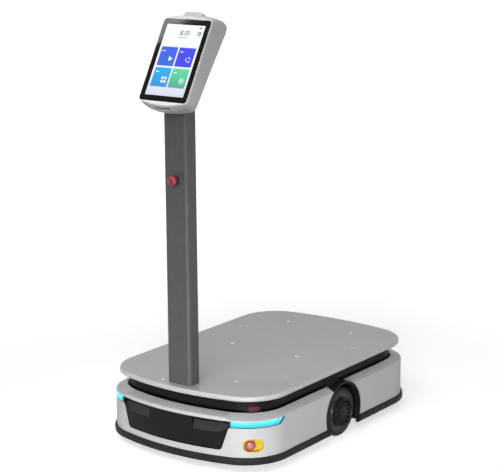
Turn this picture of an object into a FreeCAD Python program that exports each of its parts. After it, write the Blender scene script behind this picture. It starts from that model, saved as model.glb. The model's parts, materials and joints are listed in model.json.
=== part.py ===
"""Autonomous mobile robot: a low rounded flat-bed base on two drive wheels and four
casters, with a slim mast at the front that carries a tilted touch screen.

Millimetres. The robot drives towards -Y, +X is its left-hand side and +Z is up.
The origin is on the floor, under the middle of the base.
"""

import FreeCAD, Part
import math
import os
from collections import namedtuple

V = FreeCAD.Vector
X_AXIS = V(1, 0, 0)
Y_AXIS = V(0, 1, 0)
Z_AXIS = V(0, 0, 1)
ORIGIN = V(0, 0, 0)
FRONT, REAR = -1, 1
LEFT, RIGHT = 1, -1
CORNERS = {"fl": (LEFT, FRONT), "fr": (RIGHT, FRONT), "rl": (LEFT, REAR), "rr": (RIGHT, REAR)}
SIDES = {"left": LEFT, "right": RIGHT}

# --- driving dimensions -----------------------------------------------------------------
BASE_WIDTH = 632.0
BASE_LENGTH = 964.6
DECK_TOP = 230.0
DECK_THICKNESS = 15.4
BUMPER_BOTTOM = 24.5
BUMPER_TOP = 47.0
BUMPER_DEPTH = 14.0
BODY_INSET = 7.0
SHELL_WALL = 3.0
SIDE_TOP = 161.5
SHOULDER_TOP = 173.5
BROW_TOP = 168.5
PAN_BOTTOM = 30.0
PAN_THICKNESS = 4.0
PAN_TOP = PAN_BOTTOM + PAN_THICKNESS
RAIL_BOTTOM = 117.0
RAIL_SIZE = 40.0
RAIL_X = 180.0
SHUT_GAP = 0.5

WHEEL_Y = 10.0
WHEEL_RADIUS = 78.0
WHEEL_Z = WHEEL_RADIUS
ARCH_RADIUS = 99.0
ARCH_Y = 9.0
ARCH_Z = 79.0
ARCH_NOTCH_HALF = 47.5
ARCH_NOTCH_Y = -1.5
SPLIT_FRONT_Y = -129.0
SPLIT_REAR_Y = 124.0

CASTER_X = 180.0
CASTER_Y = 318.0
CASTER_RADIUS = 37.5
CASTER_TRAIL = 22.0

MAST_Y = -402.5
MAST_WIDTH = 88.2
MAST_DEPTH = 51.3
MAST_CORNER = 12.0
MAST_WALL = 3.0

SCREEN_TILT = 29.6
SCREEN_CENTRE = V(0, -418.5, DECK_TOP + 975.5)
GLASS_WIDTH = 174.0
GLASS_HEIGHT = 258.0
GLASS_CORNER = 10.0
DISPLAY_WIDTH = 140.5
DISPLAY_HEIGHT = 223.3

POST_STOP_Z = DECK_TOP + 625.0
STOP_HEAD_RADIUS = 15.2
FIT = 0.05

PAYLOAD_X = 225.0
PAYLOAD_Y = 187.5
INSERT_BORE = 3.4
DECK_SCREW_X = 128.0
DECK_SCREW_YS = (-310.0, 10.0, 330.0)
MAST_SCREW_X = 68.0
MAST_SCREW_Y = -420.0


# --- plan outlines of the base ----------------------------------------------------------
Plan = namedtuple("Plan", "half front front_r rear rear_r corner")


def plan(half, front, front_sag, rear, rear_sag, corner):
    """A rounded plan: straight sides, bowed ends given by their sagitta, round corners."""
    bow = lambda sag: (half * half + sag * sag) / (2 * sag)
    return Plan(half, front, bow(front_sag), rear, bow(rear_sag), corner)


def inset(p, d):
    """The parallel outline that lies d inside p."""
    return Plan(p.half - d, p.front - d, p.front_r - d, p.rear - d, p.rear_r - d, p.corner - d)


def corner_centre(p, end):
    """Centre of the round corner on the +X side, at the front or rear end."""
    reach, bow = (p.front, p.front_r) if end == FRONT else (p.rear, p.rear_r)
    x = p.half - p.corner
    y = reach - bow + math.sqrt((bow - p.corner) ** 2 - x * x)
    return V(x, end * y, 0)


def end_arcs(p, end):
    """Points of one end, from the +X side round to the -X side."""
    reach, bow = (p.front, p.front_r) if end == FRONT else (p.rear, p.rear_r)
    c = corner_centre(p, end)
    bow_centre = V(0, end * (reach - bow), 0)
    out = (c - bow_centre).normalize()
    half_turn = (V(1, 0, 0) + out).normalize()
    side = V(p.half, c.y, 0)
    return side, c + half_turn * p.corner, c + out * p.corner, V(0, end * reach, 0)


def mirrored(v):
    return V(-v.x, v.y, v.z)


def plan_wire(p, z):
    edges = []
    sf, cf, tf, mf = end_arcs(p, FRONT)
    sr, cr, tr, mr = end_arcs(p, REAR)
    arc = lambda a, b, c: edges.append(Part.Arc(a, b, c).toShape())
    line = lambda a, b: edges.append(Part.makeLine(a, b))
    arc(mirrored(sf), mirrored(cf), mirrored(tf))
    arc(mirrored(tf), mf, tf)
    arc(tf, cf, sf)
    line(sf, sr)
    arc(sr, cr, tr)
    arc(tr, mr, mirrored(tr))
    arc(mirrored(tr), mirrored(cr), mirrored(sr))
    line(mirrored(sr), mirrored(sf))
    wire = Part.Wire(edges)
    wire.translate(V(0, 0, z))
    return wire


BUMPER = plan(BASE_WIDTH / 2, BASE_LENGTH / 2, 69.4, BASE_LENGTH / 2, 59.0, 153.3)
BODY = inset(BUMPER, BODY_INSET)
SHOULDER = plan(283.0, 436.5, 59.0, 436.5, 49.0, 129.0)
CORE = inset(SHOULDER, 8.0)
DECK = plan(302.0, 456.0, 60.5, 457.5, 40.1, 136.3)
PAN = inset(BUMPER, BUMPER_DEPTH)


# --- small builders ---------------------------------------------------------------------
def prism(p, low, high):
    return Part.Face(plan_wire(p, low)).extrude(V(0, 0, high - low))


def hoop(p, wall, low, high):
    return prism(p, low, high).cut(prism(inset(p, wall), low - 1, high + 1))


def box(x0, x1, y0, y1, z0, z1):
    """A box from any two opposite corners."""
    x0, x1 = sorted((x0, x1))
    y0, y1 = sorted((y0, y1))
    z0, z1 = sorted((z0, z1))
    return Part.makeBox(x1 - x0, y1 - y0, z1 - z0, V(x0, y0, z0))


def rod(radius, start, end):
    return Part.makeCylinder(radius, (end - start).Length, start, end - start)


def tube(outer, inner, start, end):
    return rod(outer, start, end).cut(rod(inner, start, end))


def fused(shapes):
    shapes = list(shapes)
    return shapes[0].multiFuse(shapes[1:]).removeSplitter() if len(shapes) > 1 else shapes[0]


def lathe(profile, centre, axis, up):
    """Turn a closed profile of (along axis, radius) points about an axis through centre."""
    points = [centre + axis * t + up * r for t, r in profile]
    return Part.Face(Part.makePolygon(points + points[:1])).revolve(centre, axis, 360)


def around(shape, count, centre, axis):
    copies = []
    for i in range(count):
        copy = shape.copy()
        copy.rotate(centre, axis, 360.0 * i / count)
        copies.append(copy)
    return copies


def rounded_rect(width, height, radius, z=0.0):
    """A wire centred on the origin, in the XY plane at height z."""
    w, h = width / 2, height / 2
    k = radius * (1 - math.sqrt(0.5))
    edges = []
    for sx, sy in ((1, 1), (-1, 1), (-1, -1), (1, -1)):
        a = V(sx * w, sy * (h - radius), z)
        b = V(sx * (w - radius), sy * h, z)
        if sx * sy < 0:
            a, b = b, a
        edges.append(Part.Arc(a, V(sx * (w - k), sy * (h - k), z), b).toShape())
    joined = []
    for i, edge in enumerate(edges):
        joined.append(edge)
        joined.append(Part.makeLine(edge.lastVertex().Point, edges[(i + 1) % 4].firstVertex().Point))
    return Part.Wire(joined)


def slab(width, height, radius, low, high):
    return Part.Face(rounded_rect(width, height, radius, low)).extrude(V(0, 0, high - low))


def rounded_outline(corners):
    """A closed wire through (point, radius) corners, each rounded by its own radius."""
    edges = []
    count = len(corners)
    starts = []
    ends = []
    for i in range(count):
        point, radius = corners[i]
        before = (corners[i - 1][0] - point).normalize()
        after = (corners[(i + 1) % count][0] - point).normalize()
        half = before.getAngle(after) / 2
        reach = radius / math.tan(half)
        a, b = point + before * reach, point + after * reach
        starts.append(a)
        ends.append(b)
        if radius > 0:
            bisector = (before + after).normalize()
            middle = point + bisector * (radius / math.sin(half) - radius)
            edges.append((i, Part.Arc(a, middle, b).toShape()))
    arcs = dict(edges)
    wire = []
    for i in range(count):
        if i in arcs:
            wire.append(arcs[i])
        wire.append(Part.makeLine(ends[i], starts[(i + 1) % count]))
    return Part.Wire(wire)


def mirror_x(shape):
    return shape.mirror(ORIGIN, X_AXIS)


def for_side(shape, side):
    """Parts are drawn on the left side; the right one is its mirror image."""
    return shape if side == LEFT else mirror_x(shape)


def turned(shape, angle):
    """Half a turn about Z carries the front left corner to the rear right one."""
    copy = shape.copy()
    copy.rotate(ORIGIN, Z_AXIS, angle)
    return copy


# --- base: pan, frame and upper ring ----------------------------------------------------
def wheel_slot():
    """Floor opening of a drive wheel, open to the outside of the pan."""
    return box(236, 330, WHEEL_Y - 86, WHEEL_Y + 86, PAN_BOTTOM - 5, PAN_TOP + 45)


def caster_places():
    return {k: V(sx * CASTER_X, sy * CASTER_Y, 0) for k, (sx, sy) in CORNERS.items()}


def base_pan():
    rim = hoop(PAN, 3.0, PAN_BOTTOM, PAN_TOP + 10)
    pan = prism(PAN, PAN_BOTTOM, PAN_TOP).fuse(rim)
    for place in caster_places().values():
        pan = pan.cut(rod(67.0, place + V(0, 0, PAN_BOTTOM - 1), place + V(0, 0, PAN_TOP + 1)))
    slot = wheel_slot()
    pan = pan.cut(slot).cut(mirror_x(slot))
    for y in (-190.0, 190.0):
        for x in (-60.0, 0.0, 60.0):
            vent = slab(44, 8, 3.9, PAN_BOTTOM - 1, PAN_TOP + 1)
            vent.translate(V(x, y, 0))
            pan = pan.cut(vent)
    return pan.removeSplitter()


RAIL_TOP = RAIL_BOTTOM + RAIL_SIZE
CROSS_YS = (-330.0, 330.0)


def frame_rails():
    half = RAIL_SIZE / 2
    wall = 2.5
    solids = []
    for s in (LEFT, RIGHT):
        outer = box(s * (RAIL_X - half), s * (RAIL_X + half), -378, 378, RAIL_BOTTOM, RAIL_TOP)
        inner, outer_x = s * (RAIL_X - half + wall), s * (RAIL_X + half - wall)
        solids.append(outer.cut(box(inner, outer_x, -379, 379, RAIL_BOTTOM + wall, RAIL_TOP - wall)))
    reach = RAIL_X - half
    for y in CROSS_YS:
        outer = box(-reach, reach, y - half, y + half, RAIL_BOTTOM, RAIL_TOP)
        y0, y1 = y - half + wall, y + half - wall
        solids.append(outer.cut(box(-reach - 1, reach + 1, y0, y1, RAIL_BOTTOM + wall, RAIL_TOP - wall)))
    return fused(solids)


PILLAR_YS = (-215.0, -70.0, 90.0, 215.0)
UPPER_PILLAR_YS = (-304.0, 10.0, 304.0)
BAR_HALF = 26.0
RING_TOP = DECK_TOP - DECK_THICKNESS
RING_FLANGE = 3.0


def frame_pillars():
    """Short square posts: pan to rail, and rail to the deck ring."""
    solids = []
    for s in (LEFT, RIGHT):
        for y in PILLAR_YS:
            solids.append(box(s * 165, s * 195, y - 15, y + 15, PAN_TOP, RAIL_BOTTOM))
        for y in UPPER_PILLAR_YS:
            solids.append(box(s * 165, s * 195, y - 15, y + 15, RAIL_TOP, RING_TOP - RING_FLANGE))
    return Part.makeCompound(solids)


def upper_ring():
    """Dark wall set back between shell and deck, with the flange that carries the deck."""
    wall = hoop(CORE, 3.0, SHOULDER_TOP + 4.5, RING_TOP)
    flange = hoop(inset(CORE, 2.9), 34.0, RING_TOP - RING_FLANGE, RING_TOP)
    bars = []
    for y in DECK_SCREW_YS:
        bars.append(box(-250, 250, y - BAR_HALF, y + BAR_HALF, RING_TOP - RING_FLANGE, RING_TOP))
    ring = fused([wall, flange] + bars)
    for v in screw_places():
        ring = ring.cut(rod(3.0, V(v.x, v.y, RING_TOP - 10), V(v.x, v.y, RING_TOP + 1)))
    for angle in (0, 180):
        ring = ring.cut(turned(lidar_window_form(0.2), angle))
    notch = hood_block(1.0)
    ring = ring.cut(notch).cut(mirror_x(notch))
    return ring.cut(foot_flange(RING_TOP - FOOT_THICKNESS - 0.5, RING_TOP + 1, 0.5))


# --- deck -------------------------------------------------------------------------------
def edge_loft(p, sections):
    """A closed body through parallel outlines, given as (inset, height) pairs."""
    return Part.makeLoft([plan_wire(inset(p, d), z) for d, z in sections], True, True)


def deck_plate():
    """Pressed tray: flat top, rolled edge and turned-down rim."""
    low = RING_TOP
    top = DECK_TOP
    rim = ((2.2, low), (0.6, low + 1.6), (0, low + 4))
    outer = edge_loft(DECK, rim + ((0, top - 5.0), (1.3, top - 1.7), (4.4, top)))
    hollow = prism(inset(DECK, 32.0), low - 1, top - 4.0)
    deck = outer.cut(hollow)
    for v in payload_places():
        boss = rod(9.0, V(v.x, v.y, low), V(v.x, v.y, top - 3.9))
        deck = deck.fuse(boss).cut(rod(6.0, V(v.x, v.y, low - 1), V(v.x, v.y, top + 1)))
    for v in screw_places():
        boss = rod(9.0, V(v.x, v.y, low), V(v.x, v.y, top - 3.9))
        deck = deck.fuse(boss).cut(screw_solid(v, 0.0, DECK_THICKNESS + 1))
    return deck.cut(mast_section(0.4, low - 1, top + 1)).removeSplitter()


def payload_places():
    return [V(sx * PAYLOAD_X, sy * PAYLOAD_Y, 0) for sx in (1, -1) for sy in (1, -1)]


def screw_places():
    """Six screws into the ring's cross bars and two into the mast foot."""
    places = [V(s * DECK_SCREW_X, y, 0) for s in (1, -1) for y in DECK_SCREW_YS]
    return places + [V(s * MAST_SCREW_X, MAST_SCREW_Y, 0) for s in (1, -1)]


def screw_solid(place, gap, length):
    """A countersunk screw, head flush with the deck."""
    top = V(place.x, place.y, DECK_TOP)
    head = Part.makeCone(3.0 + gap, 6.0 + gap, 3.3, top - V(0, 0, 3.3), Z_AXIS)
    return head.fuse(rod(3.0 + gap, top - V(0, 0, length), top - V(0, 0, 3.2)))


DECK_SCREW_LENGTH = 20.0


def deck_screws():
    solids = []
    for v in screw_places():
        solids.append(screw_solid(v, -0.05, DECK_SCREW_LENGTH).cut(hex_socket(v)))
    return Part.makeCompound(solids)


def hex_socket(place):
    corners = [V(2.3 * math.cos(a), 2.3 * math.sin(a), 0) for a in (math.pi / 3 * i for i in range(7))]
    socket = Part.Face(Part.makePolygon(corners)).extrude(V(0, 0, 4))
    socket.translate(V(place.x, place.y, DECK_TOP - 2.2))
    return socket


def payload_inserts():
    """Steel bushes with threaded holes, for bolting a load or a module to the deck."""
    solids = []
    for v in payload_places():
        sleeve = rod(5.95, V(v.x, v.y, RING_TOP - 2), V(v.x, v.y, DECK_TOP))
        flange = rod(8.5, V(v.x, v.y, RING_TOP - 2), V(v.x, v.y, RING_TOP))
        bore = rod(INSERT_BORE, V(v.x, v.y, RING_TOP - 3), V(v.x, v.y, DECK_TOP + 1))
        solids.append(sleeve.fuse(flange).cut(bore))
    return Part.makeCompound(solids)


def deck_ribs():
    """Top-hat stiffeners pressed against the underside of the deck."""
    solids = []
    low = RING_TOP
    top = DECK_TOP - 4.0
    for x in (-175.0, -60.0, 60.0, 175.0):
        web = box(x - 16, x + 16, -300, 345, low, top).cut(box(x - 13, x + 13, -301, 346, low - 1, top - 2.5))
        solids.append(web)
    return Part.makeCompound(solids)


# --- shell ------------------------------------------------------------------------------
def skirt_form(wall, edge):
    """Upright skirt with a crisp top edge at the given height, then the sloping shoulder."""
    wires = [
        plan_wire(inset(BODY, wall), BUMPER_BOTTOM + 6.0),
        plan_wire(inset(BODY, wall), edge - 2.6 - wall * 0.5),
        plan_wire(inset(BODY, wall + 0.7), edge - 0.8 - wall * 0.7),
        plan_wire(inset(BODY, wall + 2.6), edge - wall * 0.9),
        plan_wire(SHOULDER, SHOULDER_TOP - wall),
    ]
    return Part.makeLoft(wires, True, True)


BROW_HALF = 181.0


def shell_solid(wall):
    """Outer form of the shell, or its inner form when wall is above zero.

    Across the front the skirt's top edge is higher, as a brow above the dark panel.
    """
    half = BROW_HALF - wall
    points = [(half + 24, 120), (half + 24, SIDE_TOP - 1), (half, BROW_TOP + 6)]
    points += [(-x, z) for x, z in reversed(points)]
    wire = Part.makePolygon([V(x, -600, z) for x, z in points + points[:1]])
    brow = skirt_form(wall, BROW_TOP).common(Part.Face(wire).extrude(V(0, 300, 0)))
    return skirt_form(wall, SIDE_TOP).fuse(brow)


def arch_cutter(radius, reach=0.0):
    """Wheel opening in the shell: a round arch whose crown runs out into the shoulder."""
    inner = V(225, ARCH_Y, ARCH_Z)
    disc = rod(radius, inner, inner + V(110, 0, 0))
    half = ARCH_NOTCH_HALF + reach
    crown = box(225, 335, ARCH_NOTCH_Y - half, ARCH_NOTCH_Y + half, ARCH_Z + 64, SHOULDER_TOP + 20)
    return disc.fuse(crown)


PANEL_TOP = 157.0
PANEL_BOTTOM = 65.5
PANEL_HALF = 204.7
PANEL_STEP_X = 201.0
PANEL_LEAN = 1 / 3
STRIP_BOTTOM = 137.5
STRIP_TOP = 158.0


def panel_prism(grow=0.0):
    """The dark front panel seen from the front, as a prism along Y.

    Its upper corners reach the light strips, and its sides lean in to a round-cornered foot.
    """
    low, step = PANEL_BOTTOM - grow, STRIP_BOTTOM - 0.5 - grow
    side_x = lambda z: PANEL_STEP_X + (z - STRIP_BOTTOM + 0.5) * PANEL_LEAN + grow * 1.054
    half = [
        (V(PANEL_HALF + grow, 0, PANEL_TOP + grow), 0.0),
        (V(PANEL_HALF + grow, 0, step), 0.0),
        (V(side_x(step), 0, step), max(0.0, 3.5 - grow)),
        (V(side_x(low), 0, low), 14.0 + grow),
    ]
    corners = half + [(mirrored(v), r) for v, r in reversed(half)]
    wire = rounded_outline(corners)
    wire.translate(V(0, -520, 0))
    return Part.Face(wire).extrude(V(0, 160, 0))


STRIP_FRONT_X = 205.3


def strip_zone(grow=0.0):
    """Where the left light strip runs: round the front corner to a slanted tip."""
    g = grow
    side = [
        (-520, STRIP_BOTTOM - g),
        (-332 + 2 * g, STRIP_BOTTOM - g),
        (-309 + 3 * g, STRIP_TOP + g),
        (-520, STRIP_TOP + g),
    ]
    wire = Part.makePolygon([V(STRIP_FRONT_X - g, y, z) for y, z in side + side[:1]])
    return Part.Face(wire).extrude(V(160, 0, 0))


PILL_ANGLE = -45.3
PILL_Z = 83.5
PILL_HALF_LENGTH = 32.0
PILL_HALF_HEIGHT = 20.5


def corner_frame(angle, radius, z):
    """Placement on the front left corner: local X runs outward and local Z is up."""
    a = math.radians(angle)
    c = corner_centre(BUMPER, FRONT)
    place = c + V(math.cos(a), math.sin(a), 0) * radius + V(0, 0, z)
    return FreeCAD.Placement(place, FreeCAD.Rotation(Z_AXIS, angle))


def pill(grow, low, high):
    """A long round-ended slot along local Y, extruded along local X from low to high."""
    half = PILL_HALF_HEIGHT + grow
    run = PILL_HALF_LENGTH - PILL_HALF_HEIGHT
    ends = [rod(half, V(low, y, 0), V(high, y, 0)) for y in (-run, run)]
    return fused(ends + [box(low, high, -run, run, -half, half)])


CORNER_RADIUS = BUMPER.corner


def placed(shape, placement):
    copy = shape.copy()
    copy.Placement = placement.multiply(copy.Placement)
    return copy


def pill_place():
    return corner_frame(PILL_ANGLE, CORNER_RADIUS - BODY_INSET, PILL_Z)


def body_shell():
    outer = shell_solid(0.0)
    shell = outer.cut(shell_solid(SHELL_WALL))
    shell = shell.cut(box(-400, 400, -600, 600, 0, BUMPER_TOP))
    shell = shell.cut(prism(SHOULDER, SHOULDER_TOP - SHELL_WALL - 1, SHOULDER_TOP + 5))
    arch = arch_cutter(ARCH_RADIUS)
    return shell.cut(arch).cut(mirror_x(arch))


CREASE_Z = 117.0
CREASE_HEIGHT = 2.6
CREASE_SHIFT = 5.0
CREASE_GROW = 4.1


def crease():
    """Shallow moulded line under the light strip, deepest on the corner and fading out."""
    diagonal = V(math.sqrt(0.5), -math.sqrt(0.5), 0)
    band = prism(BODY, CREASE_Z, CREASE_Z + CREASE_HEIGHT).common(box(120, 400, -600, -200, 0, 200))
    rest = prism(inset(BODY, -CREASE_GROW), CREASE_Z - 1, CREASE_Z + CREASE_HEIGHT + 1)
    rest.translate(diagonal * -CREASE_SHIFT)
    return band.cut(rest)


def front_shell():
    shell = body_shell().common(box(-400, 400, -600, WHEEL_Y, 0, 300))
    shell = shell.cut(crease()).cut(mirror_x(crease()))
    shell = shell.cut(panel_prism(SHUT_GAP))
    strip = strip_zone(0.4)
    shell = shell.cut(strip).cut(mirror_x(strip))
    shell = shell.cut(placed(pill(0.2, -20, 20), pill_place()))
    return shell.removeSplitter()


def rear_shell():
    shell = body_shell().common(box(-400, 400, WHEEL_Y, 600, 0, 300))
    shell = shell.cut(rear_panel_prism(SHUT_GAP))
    return shell.removeSplitter()


def rear_panel_prism(grow=0.0):
    g = grow
    points = [(-120 - g, 62 - g), (120 + g, 62 - g), (132 + g, 138 + g), (-132 - g, 138 + g)]
    wire = Part.makePolygon([V(x, 380, z) for x, z in points + points[:1]])
    return Part.Face(wire).extrude(V(0, 140, 0))


CAMERA_X = 132.0
CAMERA_Z = 147.0
CAMERA_Y = -438.0
NICHE_BOTTOM = 119.5
RAMP_TOP = 146.0
RAMP_DEPTH = 13.0
NICHE_WALL = 2.5


def niche_prism(grow=0.0):
    """Outline of the left camera niche, seen from the front, as a prism along Y."""
    g = grow
    corners = [
        (V(199.0 + g, 0, PANEL_TOP + 1), 0.0),
        (V(199.0 + g, 0, 137.0 - g), 0.0),
        (V(176.0 + g, 0, 123.0 - g), 6.0),
        (V(150.0, 0, NICHE_BOTTOM - g), 20.0),
        (V(85.0 - g, 0, NICHE_BOTTOM - g), 6.0 + g),
        (V(79.0 - g, 0, PANEL_TOP + 1), 0.0),
    ]
    wire = rounded_outline(corners)
    wire.translate(V(0, -520, 0))
    return Part.Face(wire).extrude(V(0, 160, 0))


def ramp_form(wall):
    """What lies behind the niche's sloping floor, or behind its inner face."""
    sections = ((0.0, 60.0), (0.0, NICHE_BOTTOM), (RAMP_DEPTH, RAMP_TOP), (RAMP_DEPTH, PANEL_TOP + 5))
    return edge_loft(BODY, [(d + wall, z) for d, z in sections])


def front_panel():
    """Dark panel that follows the bowed front, with a sloped niche under each depth camera."""
    skin = prism(BODY, PANEL_BOTTOM, PANEL_TOP).cut(prism(inset(BODY, SHELL_WALL), 0, 300))
    skin = skin.common(panel_prism())
    lip = hoop(inset(BODY, SHELL_WALL), 2.0, PANEL_BOTTOM - 6, PANEL_TOP - 6)
    lip = lip.common(panel_prism(6.0)).cut(strip_zone(1.0)).cut(mirror_x(strip_zone(1.0)))
    block = prism(BODY, 100, PANEL_TOP).cut(ramp_form(NICHE_WALL))
    block = block.common(niche_prism(NICHE_WALL)).common(panel_prism())
    hole = prism(inset(BODY, -5.0), 100, PANEL_TOP + 2).cut(ramp_form(0.0)).common(niche_prism())
    panel = fused([skin, lip, block, mirror_x(block)])
    panel = panel.cut(hole).cut(mirror_x(hole))
    for s in (LEFT, RIGHT):
        near, far = s * (CAMERA_X - 46), s * (CAMERA_X + 46)
        panel = panel.cut(box(near, far, -470, -400, RAMP_TOP + 0.4, PANEL_TOP - 2.2))
    return panel.removeSplitter()


def camera_modules():
    """Slim depth cameras: an alloy bar with three lens barrels each."""
    solids = []
    for s in (LEFT, RIGHT):
        bar = slab(90, 18, 8.9, 0, 22)
        bar.rotate(ORIGIN, X_AXIS, 90)
        bar.translate(V(s * CAMERA_X, CAMERA_Y + 22, CAMERA_Z))
        solids.append(bar)
        barrels = []
        for dx, r in ((-30, 5.0), (0, 3.5), (26, 5.0)):
            base = V(s * (CAMERA_X + dx), CAMERA_Y, CAMERA_Z)
            barrels.append(tube(r, r - 1.2, base - V(0, 2.5, 0), base + V(0, 0.5, 0)))
        ears = box(s * CAMERA_X - 50, s * CAMERA_X + 50, CAMERA_Y + 7, CAMERA_Y + 10, 134, 156)
        solids[-1] = fused([bar, ears] + barrels)
    return Part.makeCompound(solids)


def light_strip():
    """Translucent light guide that stands slightly proud of the corner."""
    proud = inset(BUMPER, BODY_INSET - 1.2)
    deep = inset(BUMPER, BODY_INSET + 6.0)
    mid = (STRIP_BOTTOM + STRIP_TOP) / 2
    face = Part.makeLoft(
        [
            plan_wire(inset(BUMPER, BODY_INSET), STRIP_BOTTOM),
            plan_wire(proud, STRIP_BOTTOM + 4),
            plan_wire(proud, mid + 4),
            plan_wire(inset(BUMPER, BODY_INSET), STRIP_TOP),
        ],
        True,
        True,
    )
    guide = face.cut(prism(deep, 100, 200)).common(strip_zone())
    lip = hoop(inset(BODY, SHELL_WALL), 3.0, STRIP_BOTTOM - 4, STRIP_TOP - 5).common(strip_zone(4.0))
    lip = lip.cut(panel_prism(7.0))
    return guide.fuse(lip).removeSplitter()


# --- bumper and fenders -----------------------------------------------------------------
def bumper_ring():
    """Rubber contact edge with a bulged face, round the whole base."""
    sections = ((3.5, 0.0), (0.9, 3.0), (0.0, 8.0), (0.0, 14.5), (0.9, 19.5), (3.5, 22.5))
    outer = edge_loft(BUMPER, [(d, BUMPER_BOTTOM + h) for d, h in sections])
    groove = edge_loft(BUMPER, ((-1.0, BUMPER_BOTTOM + 10.2), (-1.0, BUMPER_BOTTOM + 12.2)))
    groove = groove.cut(prism(inset(BUMPER, 1.0), 0, 100))
    inner = prism(inset(BUMPER, BUMPER_DEPTH), 0, 100)
    return outer.cut(inner).cut(groove)


def front_bumper():
    return bumper_ring().common(box(-400, 400, -600, SPLIT_FRONT_Y, 0, 100))


def rear_bumper():
    return bumper_ring().common(box(-400, 400, SPLIT_REAR_Y, 600, 0, 100))


def hood_block(grow=0.0):
    """Raised crown of the fender that shows in the gap above the wheel."""
    g = grow
    points = [(-46, 150), (36, 150), (36, 168), (14, 192), (-40, 192), (-46, 172)]
    points = [(y + (g if y > 0 else -g), z + (g if z > 160 else 0)) for y, z in points]
    wire = Part.makePolygon([V(250, y, z) for y, z in points + points[:1]])
    block = Part.Face(wire).extrude(V(34 + g, 0, 0))
    slope = Part.makePolygon(
        [
            V(262 - g, -200, 300),
            V(262 - g, -200, 193 + g),
            V(284 + g, -200, 176),
            V(320, -200, 176),
            V(320, -200, 300),
            V(262 - g, -200, 300),
        ]
    )
    return block.cut(Part.Face(slope).extrude(V(0, 400, 0)))


FENDER_OUTER = ARCH_RADIUS - SHUT_GAP
FENDER_WALL = 3.5
FENDER_INNER_X = 238.0


def fender():
    """Wheel housing: ribbed arch, inner wall with the axle window, crown and feet."""
    at = lambda x: V(x, ARCH_Y, ARCH_Z)
    arch = rod(FENDER_OUTER, at(FENDER_INNER_X), at(308.6))
    hood = hood_block()
    arch = arch.fuse(hood)
    bore = rod(FENDER_OUTER - FENDER_WALL, at(FENDER_INNER_X + 3), at(312))
    arch = arch.cut(bore)
    step = tube(FENDER_OUTER - FENDER_WALL + 0.5, FENDER_OUTER - FENDER_WALL - 3.0, at(288), at(291))
    lip = tube(FENDER_OUTER - FENDER_WALL + 0.5, FENDER_OUTER - FENDER_WALL - 2.0, at(305.6), at(308.6))
    floor_cut = box(200, 340, -200, 220, -50, PAN_TOP + 10.2)
    arch = fused([arch, step, lip]).cut(floor_cut)
    window = rod(36.0, at(230), at(FENDER_INNER_X + 5)).fuse(
        box(230, FENDER_INNER_X + 5, WHEEL_Y - 36, WHEEL_Y + 36, 0, WHEEL_Z)
    )
    arch = arch.cut(window)
    feet = bumper_ring().common(box(250, 400, SPLIT_FRONT_Y + 0.6, SPLIT_REAR_Y - 0.6, 0, 100))
    feet = feet.cut(rod(FENDER_OUTER - FENDER_WALL, at(200), at(340)))
    riser = prism(inset(BUMPER, BODY_INSET + SHELL_WALL + 0.4), PAN_TOP + 10.2, BUMPER_TOP + 12)
    riser = riser.cut(prism(inset(BUMPER, BUMPER_DEPTH), 0, 100))
    riser = riser.common(box(250, 400, WHEEL_Y - 108, WHEEL_Y + 108, 0, 100))
    riser = riser.cut(rod(FENDER_OUTER - FENDER_WALL, at(200), at(340)))
    return fused([arch, feet, riser])


# --- scanners and electronics -----------------------------------------------------------
LIDAR_ANGLE = -45.0
LIDAR_REACH = 86.0


def lidar_frame():
    a = math.radians(LIDAR_ANGLE)
    c = corner_centre(CORE, FRONT)
    return c, V(math.cos(a), math.sin(a), 0)


WINDOW_RUN = 11.0
WINDOW_RADIUS = 6.2
WINDOW_Z = 183.5


def lidar_window_form(grow):
    """Round-ended window in the ring wall, in front of the scanner."""
    c, out = lidar_frame()
    half = WINDOW_RADIUS + grow
    ends = [rod(half, V(0, y, 0), V(14, y, 0)) for y in (-WINDOW_RUN, WINDOW_RUN)]
    form = fused(ends + [box(0, 14, -WINDOW_RUN, WINDOW_RUN, -half, half)])
    place = c + out * (CORE.corner - 10) + V(0, 0, WINDOW_Z)
    return placed(form, FreeCAD.Placement(place, FreeCAD.Rotation(Z_AXIS, LIDAR_ANGLE)))


def lidar_windows():
    lens = lidar_window_form(0.0).common(prism(inset(CORE, -0.8), 150, 220))
    lens = lens.cut(prism(inset(CORE, 3.0), 150, 220))
    lip = lidar_window_form(2.5).common(hoop(inset(CORE, 3.0), 1.5, 150, 220))
    window = lens.fuse(lip)
    return Part.makeCompound([window, turned(window, 180)])


def lidars():
    """Scanners: finned base, turning-mirror housing and a flat cap."""
    c, out = lidar_frame()
    mid = c + out * LIDAR_REACH
    at = lambda z: V(mid.x, mid.y, z)
    base = [(0, 0), (0, 30), (6, 30), (6, 27), (12, 27), (12, 30), (18, 30)]
    profile = base + [(18, 26), (42, 26), (44, 24), (46, 0)]
    scanner = lathe(profile, at(160), Z_AXIS, X_AXIS)
    foot = rod(32, at(RAIL_TOP), at(160))
    scanner = fused([scanner, foot])
    return Part.makeCompound([scanner, turned(scanner, 180)])


def battery_pack():
    """Lithium pack with end caps, a carrying loop at each end and two hold-down straps."""
    body = box(-150, 150, -150, 150, PAN_TOP, PAN_TOP + 92)
    caps = [box(-146, 146, s * 150, s * 162, PAN_TOP + 6, PAN_TOP + 86) for s in (-1, 1)]
    loops = []
    for s in (-1, 1):
        loops.append(
            box(-45, 45, s * 162, s * 172, PAN_TOP + 60, PAN_TOP + 66).cut(
                box(-38, 38, s * 161, s * 167, PAN_TOP + 50, PAN_TOP + 70)
            )
        )
    straps = [box(-156, 156, y - 15, y + 15, PAN_TOP, PAN_TOP + 95) for y in (-80, 80)]
    return fused([body] + caps + loops + straps)


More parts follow.
